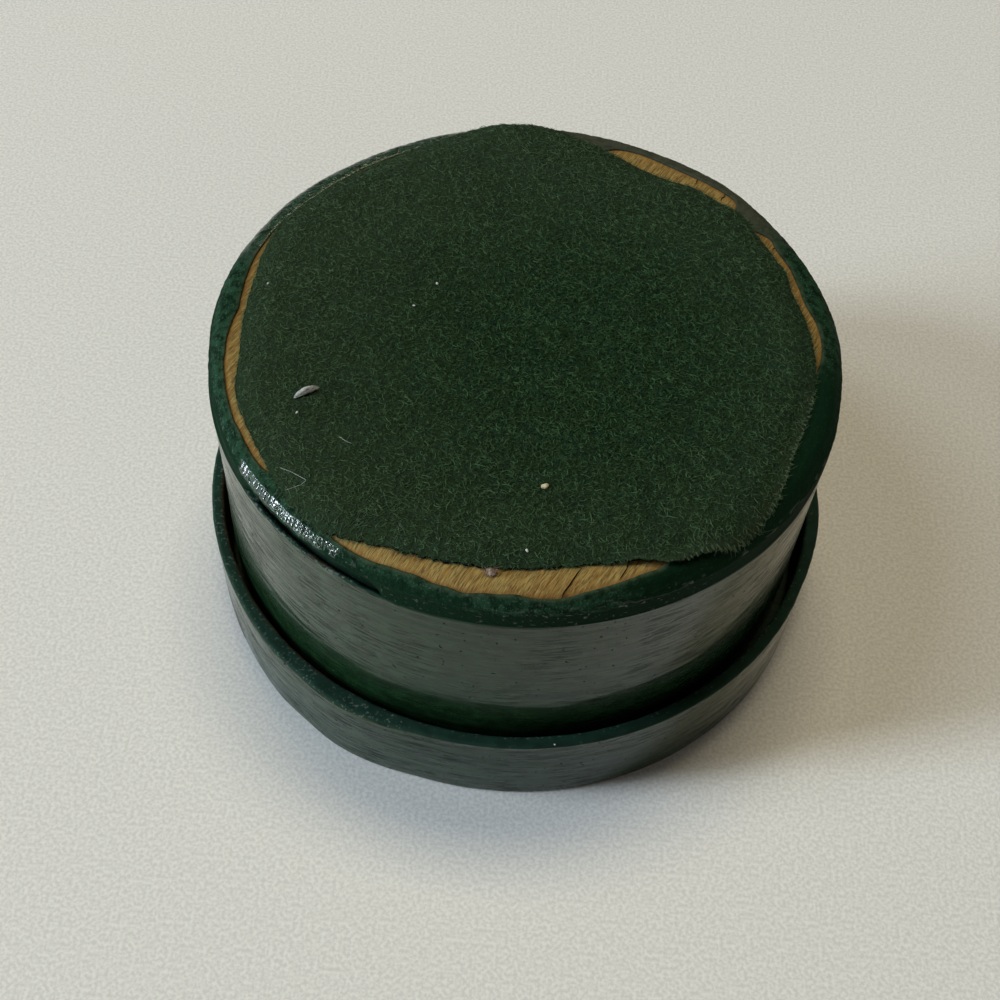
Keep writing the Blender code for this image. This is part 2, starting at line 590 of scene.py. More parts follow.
class SharedEffects:
    """The effects that more than one finish uses, each built once as a node group."""

    def __init__(self) -> None:
        """Build the groups."""
        self.streaks = self.build_streaks()
        self.mottle = self.build_mottle()
        self.edge = self.build_edge()
        self.curls = self.build_curls()
        self.grazing_sheen = self.build_grazing_sheen()

    @staticmethod
    def start(name: str, **inputs: float) -> tuple[Sketch, Signal, dict[str, Signal]]:
        """Open a new group.

        Args:
            name: The group's name.
            inputs: Its number inputs and what they are set to at first.

        Returns:
            The sketch of its nodes, the place on the object, and its inputs by name.
        """
        tree = bpy.data.node_groups.new(name, "ShaderNodeTree")
        sketch = Sketch(tree)
        for title, value in inputs.items():
            socket = tree.interface.new_socket(name=title, in_out="INPUT", socket_type="NodeSocketFloat")
            socket.default_value = value
        given = tree.nodes.new("NodeGroupInput")
        return sketch, sketch.place(), {title: Signal(sketch, given.outputs[title]) for title in inputs}

    @staticmethod
    def end(sketch: Sketch, **outputs: Signal) -> bpy.types.NodeTree:
        """Close a group.

        Args:
            sketch: The sketch of its nodes.
            outputs: What comes out of it, by name.

        Returns:
            The group.
        """
        for title in outputs:
            sketch.tree.interface.new_socket(name=title, in_out="OUTPUT", socket_type="NodeSocketFloat")
        put = sketch.tree.nodes.new("NodeGroupOutput")
        for title, signal in outputs.items():
            sketch.tree.links.new(signal.socket, put.inputs[title])
        return sketch.tree

    def build_streaks(self) -> bpy.types.NodeTree:
        """Fine dark streaks that run round a bent band: long along it and thin in height.

        Returns:
            The group.
        """
        sketch, place, given = self.start("streaks", run=3.0, rise=0.2, fill=0.5, shift=0.0)
        parts = sketch.lay("SeparateXYZ", {0: place}).outputs
        x, y, z = (Signal(sketch, part) for part in parts)
        across, upwards = (given[name].under(PER_METRE) for name in ("run", "rise"))
        stretched = sketch.node("CombineXYZ", {0: x * across + given["shift"], 1: y * across, 2: z * upwards})
        fine = sketch.noise(stretched, detail=3.0, roughness=0.6) - given["fill"]
        cells = sketch.node("TexVoronoi", {"Vector": stretched, "Scale": 0.55}, out="Distance", feature="F1")
        return self.end(sketch, streaks=fine.spread(0.0, 0.07), pores=cells.spread(0.10, 0.24, 1.0, 0.0))

    def build_mottle(self) -> bpy.types.NodeTree:
        """Soft blotches of one size, from 0 to 1, alike in every direction.

        Returns:
            The group.
        """
        sketch, place, given = self.start("mottle", size=1.0, detail=3.0, start=0.35, end=0.65)
        raw = sketch.noise(place, given["size"].under(PER_METRE), detail=given["detail"])
        return self.end(sketch, mask=raw.spread(given["start"], given["end"]), raw=raw)

    def build_edge(self) -> bpy.types.NodeTree:
        """A ragged border: where a smooth mark on the piece passes a half, broken up by fine noise.

        Returns:
            The group.
        """
        sketch, place, given = self.start("ragged edge", mark=0.0, size=0.8, raggedness=0.5, softness=0.1)
        stray = (sketch.noise(place, given["size"].under(PER_METRE), detail=4.0) - 0.5) * given["raggedness"]
        level = (given["mark"] + stray - 0.5) / given["softness"] + 0.5
        return self.end(sketch, mask=sketch.node("Clamp", {0: level}))

    def build_curls(self) -> bpy.types.NodeTree:
        """A net of fine curly lines, where each of two noises passes its middle value.

        Returns:
            The group.
        """
        sketch, place, given = self.start("curls", size=0.5, width=0.05)
        coarse, fine = (
            sketch.noise(place, given["size"].under(PER_METRE / ratio), detail=1.5, distortion=0.6)
            for ratio in (1.0, 0.62)
        )
        lines = [((raw - 0.5).by("ABSOLUTE") / given["width"]).spread(0.0, 1.0, 1.0, 0.0) for raw in (coarse, fine)]
        return self.end(sketch, lines=lines[0].over(lines[1]))

    def build_grazing_sheen(self) -> bpy.types.NodeTree:
        """The painted grazing sheen on the felt: none near a point, and more the farther from it.

        Returns:
            The group.
        """
        sketch, place, given = self.start("grazing_sheen", middle_x=9.0, middle_y=-5.0, reach=52.0)
        parts = sketch.lay("SeparateXYZ", {0: place}).outputs
        away = [Signal(sketch, parts[at]) * PER_METRE - given[name] for at, name in enumerate(("middle_x", "middle_y"))]
        far = (away[0] * away[0] + away[1] * away[1]).by("SQRT") / given["reach"]
        return self.end(sketch, mask=far.spread(0.15, 1.0))


@dataclass(frozen=True)
class Finish:
    """A material. Each kind says in draw() which nodes it is made of."""

    name: str

    def build(self, shared: SharedEffects) -> bpy.types.Material:
        """Make the material.

        Args:
            shared: The groups that it may place.

        Returns:
            The material.
        """
        material = bpy.data.materials.new(self.name)
        material.use_nodes = True
        sketch = Sketch(material.node_tree, shared)
        shader = sketch.node("BsdfPrincipled", self.draw(sketch))
        sketch.lay("OutputMaterial", {0: shader})
        return material


@dataclass(frozen=True)
class GreenPaint(Finish):
    """Brushed dark green paint over wood, worn through to brown where a piece is marked as worn."""

    deep: Colour = (0.0066, 0.0235, 0.0085)
    fresh: Colour = (0.0115, 0.0385, 0.0140)
    streak: Colour = (0.0012, 0.0028, 0.0018)
    bare: Colour = (0.064, 0.044, 0.028)
    top_tint: Colour = (0.0130, 0.0380, 0.0250)
    chalk: Colour = (0.130, 0.165, 0.140)
    sheen_tint: Colour = (0.80, 1.0, 0.75)
    smoothness: float = 0.15
    dullness: float = 0.60
    run: float = 4.6
    rise: float = 0.44
    fill: float = 0.520
    depth: float = 0.7

    def draw(self, sketch: Sketch) -> dict[str, object]:
        """Lay down its nodes.

        Args:
            sketch: Where they go.

        Returns:
            What the inputs of its shader get.
        """
        side, rubbed = sketch.marked("side"), sketch.marked("rubbed")
        fine = sketch.group("streaks", run=self.run, rise=self.rise, fill=self.fill)
        long = sketch.group("streaks", run=self.run * 2.2, rise=self.rise * 0.62, fill=self.fill, shift=7.0)
        calm = sketch.group("mottle", size=7.0, start=0.40, end=0.60)["mask"]
        pits = sketch.group("mottle", size=0.6, detail=0.0, start=0.79, end=0.83)["mask"]
        blotches = sketch.group("mottle", size=2.2)["mask"]
        strength = side * calm.spread(0.0, 1.0, 1.0, 0.62) * sketch.marked("drawn")
        streaks = fine["streaks"].over(long["streaks"] * 0.85) * strength
        pores = (fine["pores"] * 0.7 * strength).over(pits * side)
        dark = (streaks * 0.62).over(pores)
        top = blotches.blend(tuple(part * 0.75 for part in self.top_tint), self.top_tint)
        colour = side.blend(top, blotches.blend(self.deep, self.fresh))
        worn = sketch.group("edge", mark=sketch.marked("worn"), size=0.6, raggedness=1.5, softness=0.25)["mask"]
        browns = fine["streaks"].blend(self.bare, tuple(part * 0.5 for part in self.bare))
        chips = sketch.group("edge", mark=rubbed, size=0.45, raggedness=1.9, softness=0.30)["mask"]
        colour = chips.blend(worn.blend(dark.blend(colour, self.streak), browns), self.chalk)
        rough = dark.spread(0.0, 1.0, self.smoothness, self.dullness) + worn.over(rubbed) * 0.3
        return {
            "Base Color": colour,
            "Roughness": rough + side.spread(0.0, 1.0, 0.5, 0.0),
            "Normal": sketch.bump(dark * -1.0, self.depth, 0.03),
            "Coat Weight": dark.spread(0.0, 1.0, 0.58, 0.06) * side * sketch.marked("shine"),
            "Coat Roughness": self.smoothness,
            "Coat IOR": 1.5,
            "Specular IOR Level": 0.11,
            "Specular Tint": self.sheen_tint,
        }


@dataclass(frozen=True)
class RimPaint(Finish):
    """The thick coat on the base's rim: teal green, glossy and lumpy, with light specks that are partly scuffs and
    partly painted glints, painted shade below its widest line and on its flanks, and painted sheen along its lip and
    its back.
    """

    deep: Colour = (0.0032, 0.0140, 0.0058)
    fresh: Colour = (0.0140, 0.0450, 0.0225)
    # painted shade: a darker green laid where the rim's underside and flanks fall in shade
    painted_shade: Colour = (0.0030, 0.0185, 0.0074)
    # light teal specks: partly scuffs in the paint and partly painted glints on its lumps
    scuff_and_glint: Colour = (0.050, 0.105, 0.072)
    # painted sheen: the paler grey-green laid along the coat's inner lip, where the paint mirrors the ceiling light
    lip: Colour = (0.038, 0.060, 0.034)
    # painted sheen: the pale grey laid on the rim's back, where its flank mirrors the table at a grazing angle
    back_sheen_grey: Colour = (0.062, 0.064, 0.045)
    ridge_spacing: float = 0.87
    dab_spacing: tuple[float, float] = (0.60, 0.52)
    gloss: float = 0.8
    wet: float = 0.07
    matt: float = 0.80
    matt_level: float = 0.05

    def draw(self, sketch: Sketch) -> dict[str, object]:
        """Lay down its nodes.

        Args:
            sketch: Where they go.

        Returns:
            What the inputs of its shader get.
        """
        blotches = sketch.group("mottle", size=1.3, detail=5.0, start=0.36, end=0.62)
        grit = sketch.group("mottle", size=0.30, detail=2.0, start=0.57, end=0.68)
        painted_shade, sheen, band = (sketch.marked(name) for name in ("painted_shade", "sheen", "band"))
        # the painted shade mark darkens the paint where the rim lies in shade
        colour = painted_shade.blend(blotches["mask"].blend(self.deep, self.fresh), self.painted_shade)
        # light specks, partly scuffs and partly painted glints, fewer where the painted shade lies
        colour = (grit["mask"] * painted_shade.spread(0.0, 1.0, 0.6, 0.1)).blend(colour, self.scuff_and_glint)
        # painted sheen along the coat's inner lip
        lip_sheen = sketch.marked("lip") * blotches["raw"].spread(0.35, 0.60, 0.35, 1.0)
        # painted grey sheen on the rim's back
        back_sheen = sketch.marked("back_sheen") * blotches["raw"].spread(0.3, 0.6, 0.6, 1.0)
        grain = sketch.bump(grit["raw"], band.spread(0.0, 1.0, 0.7, 0.1), 0.20)
        waves = self.waves(sketch) * (band * blotches["raw"].spread(0.35, 0.6, 0.6, 1.0))
        return {
            "Base Color": back_sheen.blend(lip_sheen.blend(colour, self.lip), self.back_sheen_grey),
            "Roughness": sheen.spread(0.0, 1.0, self.matt, self.wet),
            "Normal": sketch.bump(waves, 1.0, 0.07, Normal=grain),
            "Specular IOR Level": sheen.spread(0.0, 1.0, self.matt_level, self.gloss),
            "IOR": 1.5,
        }

    def waves(self, sketch: Sketch) -> Signal:
        """The brush marks' height: ridges that run down the rim, which break up into dabs.

        Args:
            sketch: Where the nodes go.

        Returns:
            The height, from 0 to 1.
        """
        across, down, early = (sketch.marked(name) for name in ("across", "down", "early"))
        stir = sketch.group("mottle", size=1.1, detail=1.0)["raw"] * 2.5
        more = stir * 2.2

        def wave(place: Signal, spacing: float, stirred: Signal) -> Signal:
            """A stirred row of round crests with sharp valleys between them, this far apart."""
            return (place * (math.pi / spacing) + stirred).by("SINE").by("ABSOLUTE")

        dabs = wave(across, self.dab_spacing[0], more) * wave(down, self.dab_spacing[1], more)
        late = early * -1.0 + 1.0
        return wave(across, self.ridge_spacing, stir) * early + dabs * late


@dataclass(frozen=True)
class BareWood(Finish):
    """Bare tan wood with fine grain lines in one direction, darker orange where paint has soaked in."""

    pale: Colour = (0.360, 0.265, 0.085)
    tan: Colour = (0.300, 0.178, 0.046)
    line: Colour = (0.095, 0.048, 0.015)
    soaked: Colour = (0.230, 0.110, 0.026)
    grain_bearing: float = 60.0
    grain: tuple[float, float] = (1.5, 0.10)

    def draw(self, sketch: Sketch) -> dict[str, object]:
        """Lay down its nodes.

        Args:
            sketch: Where they go.

        Returns:
            What the inputs of its shader get.
        """
        cell = (self.grain[0] * MM, self.grain[1] * MM, 1.0 * MM)
        turn = (0.0, 0.0, math.radians(self.grain_bearing))
        turned = sketch.node("Mapping", {0: sketch.place(), "Rotation": turn, "Scale": cell}, vector_type="TEXTURE")
        dark = sketch.noise(turned, detail=4.0, roughness=0.65).spread(0.45, 0.62, 0.0, 0.9)
        colour = sketch.noise(turned, 0.28, detail=2.0).spread(0.40, 0.60).blend(self.pale, self.tan)
        soak = sketch.group("edge", mark=sketch.marked("soaked"), size=0.9, raggedness=0.8, softness=0.7)["mask"]
        return {
            "Base Color": (soak * 0.6).blend(dark.blend(colour, self.line), self.soaked),
            "Normal": sketch.bump(dark * -1.0, 0.5, 0.06),
            "Roughness": 0.75,
            "Specular IOR Level": 0.2,
        }


@dataclass(frozen=True)
class LidBoardWood(Finish):
    """The lid's board: dark bare wood above, and brushed green paint with scuffs underneath."""

    paint: GreenPaint = GreenPaint("board paint tones")
    wood: Colour = (0.085, 0.046, 0.024)
    shade: Colour = (0.030, 0.015, 0.008)
    grain: tuple[float, float] = (6.0, 0.35)

    def draw(self, sketch: Sketch) -> dict[str, object]:
        """Lay down its nodes.

        Args:
            sketch: Where they go.

        Returns:
            What the inputs of its shader get.
        """
        cell = (self.grain[0] * MM, self.grain[1] * MM, 1.0 * MM)
        place = sketch.node("Mapping", {0: sketch.place(), "Scale": cell}, vector_type="TEXTURE")
        dark = sketch.noise(place, detail=4.0).spread(0.42, 0.64)
        blotches = sketch.group("mottle", size=2.6, detail=4.0)["mask"]
        paint = (dark * 0.6).blend(blotches.blend(self.paint.deep, self.paint.fresh), self.paint.streak)
        scuffed = sketch.marked("scuffed")
        scuffs = sketch.group("edge", mark=scuffed, size=1.8, raggedness=1.3, softness=0.12)["mask"]
        bare = dark.blend(self.wood, self.shade)
        return {
            "Base Color": sketch.marked("painted").blend(bare, scuffs.blend(paint, self.wood)),
            "Roughness": sketch.marked("brushed").spread(0.0, 1.0, 0.75, self.paint.smoothness + 0.06),
            "Normal": sketch.bump(dark * -1.0, 0.5, 0.05),
        }


@dataclass(frozen=True)
class WoolFelt(Finish):
    """Pressed green wool, mottled from teal to a yellower green, with a soft sheen, and a painted sheen that makes it
    paler farther from its front middle.
    """

    shade: Colour = (0.0004, 0.0022, 0.0005)
    green: Colour = (0.0105, 0.0330, 0.0085)
    teal: Colour = (0.0055, 0.0270, 0.0145)
    lit: Colour = (0.0350, 0.0800, 0.0340)
    # the pale tone of the painted grazing sheen, and of the frayed edge
    sheen_and_fray_pale: Colour = (0.0400, 0.0620, 0.0330)
    curl: float = 0.30

    def draw(self, sketch: Sketch) -> dict[str, object]:
        """Lay down its nodes.

        Args:
            sketch: Where they go.

        Returns:
            What the inputs of its shader get.
        """
        hue = sketch.group("mottle", size=3.2, detail=4.0, start=0.40, end=0.60)["mask"]
        tufts = sketch.group("mottle", size=self.curl, start=0.38, end=0.62)
        lines = sketch.group("curls", size=self.curl * 1.7, width=0.045)["lines"]
        colour = tufts["mask"].blend(self.shade, hue.blend(self.teal, self.green))
        colour = (lines * 0.8).blend(colour, self.lit)
        # painted sheen: the felt grows paler farther from a point near its front middle
        colour = (sketch.group("grazing_sheen")["mask"] * 0.38).blend(colour, self.sheen_and_fray_pale)
        colour = (sketch.marked("fray") * 0.45).blend(colour, self.sheen_and_fray_pale)
        return {
            "Base Color": sketch.marked("shaded").blend(colour, self.shade),
            "Normal": sketch.bump(tufts["raw"] + lines * 0.25, 0.9, 0.25),
            "Roughness": 1.0,
            "Specular IOR Level": 0.05,
            "Sheen Weight": 0.02,
            "Sheen Roughness": 0.5,
        }


@dataclass(frozen=True)
class Fibre(Finish):
    """Loose hairs, or a crumb of lint: two mottled tones, paler where the felt's painted grazing sheen lies and along
    its frayed edge.
    """

    dark: Colour
    light: Colour
    patch: float = 2.0
    # the pale tone of the painted grazing sheen and of the frayed edge, and how much of the sheen a hair takes
    sheen_and_fray_pale: Colour | None = None
    sheen_share: float = 0.20

    def draw(self, sketch: Sketch) -> dict[str, object]:
        """Lay down its nodes.

        Args:
            sketch: Where they go.

        Returns:
            What the inputs of its shader get.
        """
        blotches = sketch.group("mottle", size=self.patch, start=0.38, end=0.62)["mask"]
        colour = (blotches * 0.6 + sketch.marked("tone")).blend(self.dark, self.light)
        if self.sheen_and_fray_pale is not None:
            # painted grazing sheen, and the pale frayed edge
            pale = sketch.group("grazing_sheen")["mask"] * self.sheen_share
            colour = pale.over(sketch.marked("fray") * 0.6).blend(colour, self.sheen_and_fray_pale)
        return {"Base Color": colour, "Roughness": 0.8, "Specular IOR Level": 0.12}


@dataclass(frozen=True)
class TableTop(Finish):
    """The table: pale, matt and very finely mottled."""

    dark: Colour = (0.675, 0.665, 0.645)
    light: Colour = (0.845, 0.835, 0.805)

    def draw(self, sketch: Sketch) -> dict[str, object]:
        """Lay down its nodes.

        Args:
            sketch: Where they go.

        Returns:
            What the inputs of its shader get.
        """
        fine = sketch.group("mottle", size=0.55, start=0.3, end=0.7)
        return {
            "Base Color": fine["mask"].blend(self.dark, self.light),
            "Normal": sketch.bump(fine["raw"], 0.25, 0.15),
            "Roughness": 0.6,
            "Specular IOR Level": 0.3,
        }


class Finishes:
    """Every finish in the scene, built once."""

    def __init__(self) -> None:
        """Build the shared effects and then the materials, each kept under its short name."""
        shared = SharedEffects()
        self.wall = GreenPaint("box_wall_paint").build(shared)
        self.lid = GreenPaint("lid_wall_paint", run=5.2, rise=0.50).build(shared)
        self.rim = RimPaint("rim_paint").build(shared)
        self.wood = BareWood("bare_wood").build(shared)
        self.board = LidBoardWood("lid_board_wood").build(shared)
        self.felt = WoolFelt("wool_felt").build(shared)
        self.table = TableTop("pale_table").build(shared)
        self.hair = Fibre("felt_hair", (0.050, 0.100, 0.045), (0.180, 0.250, 0.140)).build(shared)
        curl = Fibre("felt_curl", (0.0028, 0.0150, 0.0038), (0.068, 0.150, 0.062), 0.6, (0.190, 0.235, 0.160))
        self.curl = curl.build(shared)
        self.lint = Fibre("white_lint", (0.50, 0.52, 0.50), (0.78, 0.80, 0.78), 0.5).build(shared)
        self.seed = Fibre("seed_husk", (0.42, 0.36, 0.20), (0.66, 0.62, 0.44), 0.6).build(shared)
        self.crumb = Fibre("pink_crumb", (0.16, 0.10, 0.07), (0.46, 0.37, 0.32), 0.4).build(shared)
        self.split = Fibre("dark_split", (0.012, 0.006, 0.003), (0.030, 0.014, 0.006), 0.8).build(shared)


@dataclass
class Lid:
    """The lid: a low bent hoop with a wooden board let into it, lying mouth up under the box."""

    finishes: Finishes
    columns: int = 620
    wall_spacing: float = 0.42 * MM
    edge_round: float = 0.55 * MM
    waviness: float = 0.10 * MM
    grain_depth: float = 0.03 * MM
    board_columns: int = 520
    board_overlap: float = 0.26 * MM
    board_round: float = 0.5 * MM
    fibre_cell: Triple = (9, 0.7, 1)
    swell_cell: Triple = (30, 14, 1)
    bare_bore: Stretch = (155, 228, 12)
    worn_ring: Stretch = (186, 242, 8)
    worn_foot: Stretch = (192, 210, 7)
    brown_foot: Stretch = (255, 330, 20)
    chalky_edge: Stretch = (185, 250, 12)
    streaky: tuple[Stretch, Stretch] = ((214, 262, 10), (318, 345, 10))
    dull: Stretch = (198, 236, 8)
    lap: Outline = (
        (0, 0.2), (20, 0.0), (196, 0.0), (212, 0.05), (220, 0.3), (226, 0.55), (233, 0.6), (240, 0.95), (246, 0.82),
        (251, 0.5), (256, 0.15), (261, 0.05), (270, 0.0), (325, 0.0), (339, -0.15), (346, 0.08), (354, 0.28),
    )

    def build(self) -> None:
        """Make the hoop and the board, with their sizes taken from the frame."""
        for solid, build in (("lid_band", self.build_hoop), ("lid_disc", self.build_board)):
            _, (radius, _, high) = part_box(solid)
            build(radius, high)

    def build_hoop(self, outer: float, high: float) -> None:
        """The painted hoop: streaky outside, worn to brown along its inner edge, bare inside.

        Args:
            outer: The hoop's radius.
            high: Its height.
        """
        inner = inner_radius("lid_band")
        turning = Turning(hoop_profile(inner, outer, 0.0, high, self.edge_round, self.wall_spacing), self.columns)
        past_inner, below_top, height = turning.radius - inner, turning.height - high, turning.height
        outside = ease(turning.radius, inner + 0.9 * MM, outer - 0.3 * MM)
        near_top = rise(below_top, -1.2, -0.4)
        relief = self.waviness * turning.grain(24, 12, 11) * outside + self.grain_depth * turning.grain(4, 0.9, 12)
        relief = relief + 0.05 * MM * near_top * turning.grain(1.4, 0.7, 13)
        bearing = np.broadcast_to(turning.bearing, relief.shape)
        lapped = by_bearing(self.lap, turning.bearing) * MM * outside
        hoop = woven("lid_hoop", turning.points(relief, -lapped))
        inside = fall(past_inner, 0.10, 0.50) * between(bearing, *self.bare_bore)
        ring = fall(past_inner, 0.30, 0.70) * between(bearing, *self.worn_ring)
        low_strip = between(bearing, *self.worn_foot) * fall(height, 3.5, 8.5) * outside
        # brownish low on the foot at the front right
        rubbed = 0.36 * between(bearing, *self.brown_foot) * fall(height, 0.8, 3.0) * outside
        flecks = fall(past_inner, 0.3, 0.9) * near_top
        mark(
            hoop, relief.shape,
            worn=np.clip(np.maximum(inside, 0.55 * ring) + 0.62 * low_strip + rubbed, 0.0, 1.0),
            rubbed=np.maximum(0.22 * flecks, 0.20 * near_top * between(bearing, *self.chalky_edge)),
            side=outside * fall(below_top, -0.5, -0.25),
            drawn=0.80 + 0.20 * sum(between(bearing, *stretch) for stretch in self.streaky),
            shine=0.97 - 0.36 * between(bearing, *self.dull),
        )
        settle(hoop, Body.LID, Slot.LID_PAINT, self.finishes.lid, "lid_band")

    def build_board(self, radius: float, high: float) -> None:
        """The board: bare wood inside, brushed paint round its edge and on the face on the table.

        Args:
            radius: The board's radius.
            high: The height of its upper face.
        """
        low, core, soft = 0.05 * MM, 0.3 * MM, self.board_round
        radius = radius + self.board_overlap
        parts = [
            evenly([(core, high), (radius - soft, high)], 0.55 * MM),
            evenly(quarter((radius, high), (-soft, 0), (0, -soft)), EDGE_SPACING)[1:],
            evenly(quarter((radius, low), (0, soft), (-soft, 0)), EDGE_SPACING),
            evenly([(radius - soft, low), (core, low)], 0.55 * MM)[1:],
        ]
        turning = Turning(np.concatenate(parts), self.board_columns, closed=False)
        flat = turning.points(0.0)
        fibres = drift(flat / MM / np.array(self.fibre_cell), 14)
        swell = drift(flat / MM / np.array(self.swell_cell), 15)
        brushed = 0.02 * MM * (fibres - 1.0) + 0.03 * MM * (swell - 1.0)
        relief = np.where(flat[..., 2] > high / 2, 0.035 * MM * (fibres - 1.0), brushed)
        board = woven("lid_board", turning.points(np.minimum(relief, 0.0)), capped=True)
        under = fall(flat[..., 2] - low, 0.15, 0.45)
        mark(
            board, under.shape,
            painted=np.maximum(under, rise(turning.radius, 42.5, 44.0)),
            brushed=under,
            scuffed=0.30 * under * rise(turning.radius - radius, -7, 0) + 0.18 * under,
        )
        settle(board, Body.LID, Slot.LID_PAINT, self.finishes.board, "lid_disc")


@dataclass
class BoxHoop:
    """The box's tall bent hoop, with a rough painted upper edge where the base sits on it."""

    finishes: Finishes
    columns: int = 500
    wall_spacing: float = 0.47 * MM
    edge_round: float = 0.35 * MM
    waviness: float = 0.14 * MM
    grain_depth: float = 0.03 * MM
    roughness: float = 0.16 * MM
    lean: float = 0.55 * MM
    groove_depth: float = 1.5 * MM
    ragged_edge: Stretch = (219, 252, 5)
    leaning: Stretch = (200, 245, 14)
    bare_top: Stretch = (235.5, 240, 2)
    rubbed_ledge: Stretch = (220, 242, 5)
    streaky_left: Stretch = (185, 238, 14)
    streaky_right: Stretch = (300, 345, 12)
    high_shine: Outline = (
        (180, 0.7), (200, 0.6), (212, 0.5), (222, 0.62), (232, 0.78), (242, 0.86), (256, 0.82), (270, 0.84),
        (282, 0.92), (300, 0.93), (312, 0.86), (322, 0.68), (335, 0.70), (350, 0.9),
    )
    low_shine: Outline = (
        (180, 1.0), (200, 1.0), (210, 1.3), (220, 1.5), (230, 1.35), (240, 1.1), (256, 0.95), (275, 0.92),
        (290, 0.80), (300, 0.60), (310, 0.75), (320, 1.0), (335, 1.5), (350, 1.2),
    )
    groove_edge: Outline = (
        (180, 44.0), (219, 44.0), (221, 45.75), (226, 45.85), (231, 45.98), (236, 46.10), (241, 46.08),
        (246, 45.95), (251, 45.7), (254, 44.0), (270, 44.0),
    )

    def build(self) -> None:
        """Make the hoop, with its sizes taken from the frame."""
        (_, _, low), (outer, _, high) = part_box("body_band")
        inner = inner_radius("body_band")
        turning = Turning(hoop_profile(inner, outer, low, high, self.edge_round, self.wall_spacing), self.columns)
        past_inner, below_top = turning.radius - inner, turning.height - high
        outside = ease(turning.radius, inner + 1.0 * MM, outer - 0.3 * MM)
        relief = self.waviness * (turning.grain(26, 16, 21) - 0.6) * outside
        relief = relief + self.grain_depth * turning.grain(5, 0.9, 22)
        bearing = np.broadcast_to(turning.bearing, relief.shape)
        ragged = rise(below_top, -0.9, -0.2) * between(bearing, *self.ragged_edge)
        relief = relief + self.roughness * ragged * turning.grain(0.9, 0.6, 23)
        relief = relief + self.lean * fall(turning.height, 14, 30) * between(bearing, *self.leaning) * outside
        past_edge = turning.radius - by_bearing(self.groove_edge, bearing) * MM
        relief = relief - self.groove_depth * rise(below_top, -0.10, -0.02) * fall(past_edge, -0.08, 0.08)
        hoop = woven("box_hoop", turning.points(relief))
        bare_top = rise(below_top, -0.15, -0.05) * between(bearing, *self.bare_top) * rise(past_edge, 0.05, 0.20)
        inside = fall(past_inner, 0.15, 0.55) * fall(below_top, -1.6, -0.6)
        ledge = rise(below_top, -0.55, -0.15) * rise(past_edge, 0.05, 0.3)
        high_up = rise(turning.height, 18, 40)
        shine = by_bearing(self.low_shine, bearing) * (1 - high_up) + by_bearing(self.high_shine, bearing) * high_up
        mark(
            hoop, relief.shape,
            worn=np.clip(0.75 * bare_top + inside, 0.0, 1.0),
            rubbed=0.42 * ledge * between(bearing, *self.rubbed_ledge),
            side=outside * fall(below_top, -0.45, -0.15),
            drawn=0.85 + 0.15 * between(bearing, *self.streaky_left) + 0.10 * between(bearing, *self.streaky_right),
            shine=shine,
        )
        settle(hoop, Body.BOX, Slot.BOX_PAINT, self.finishes.wall, "body_band")


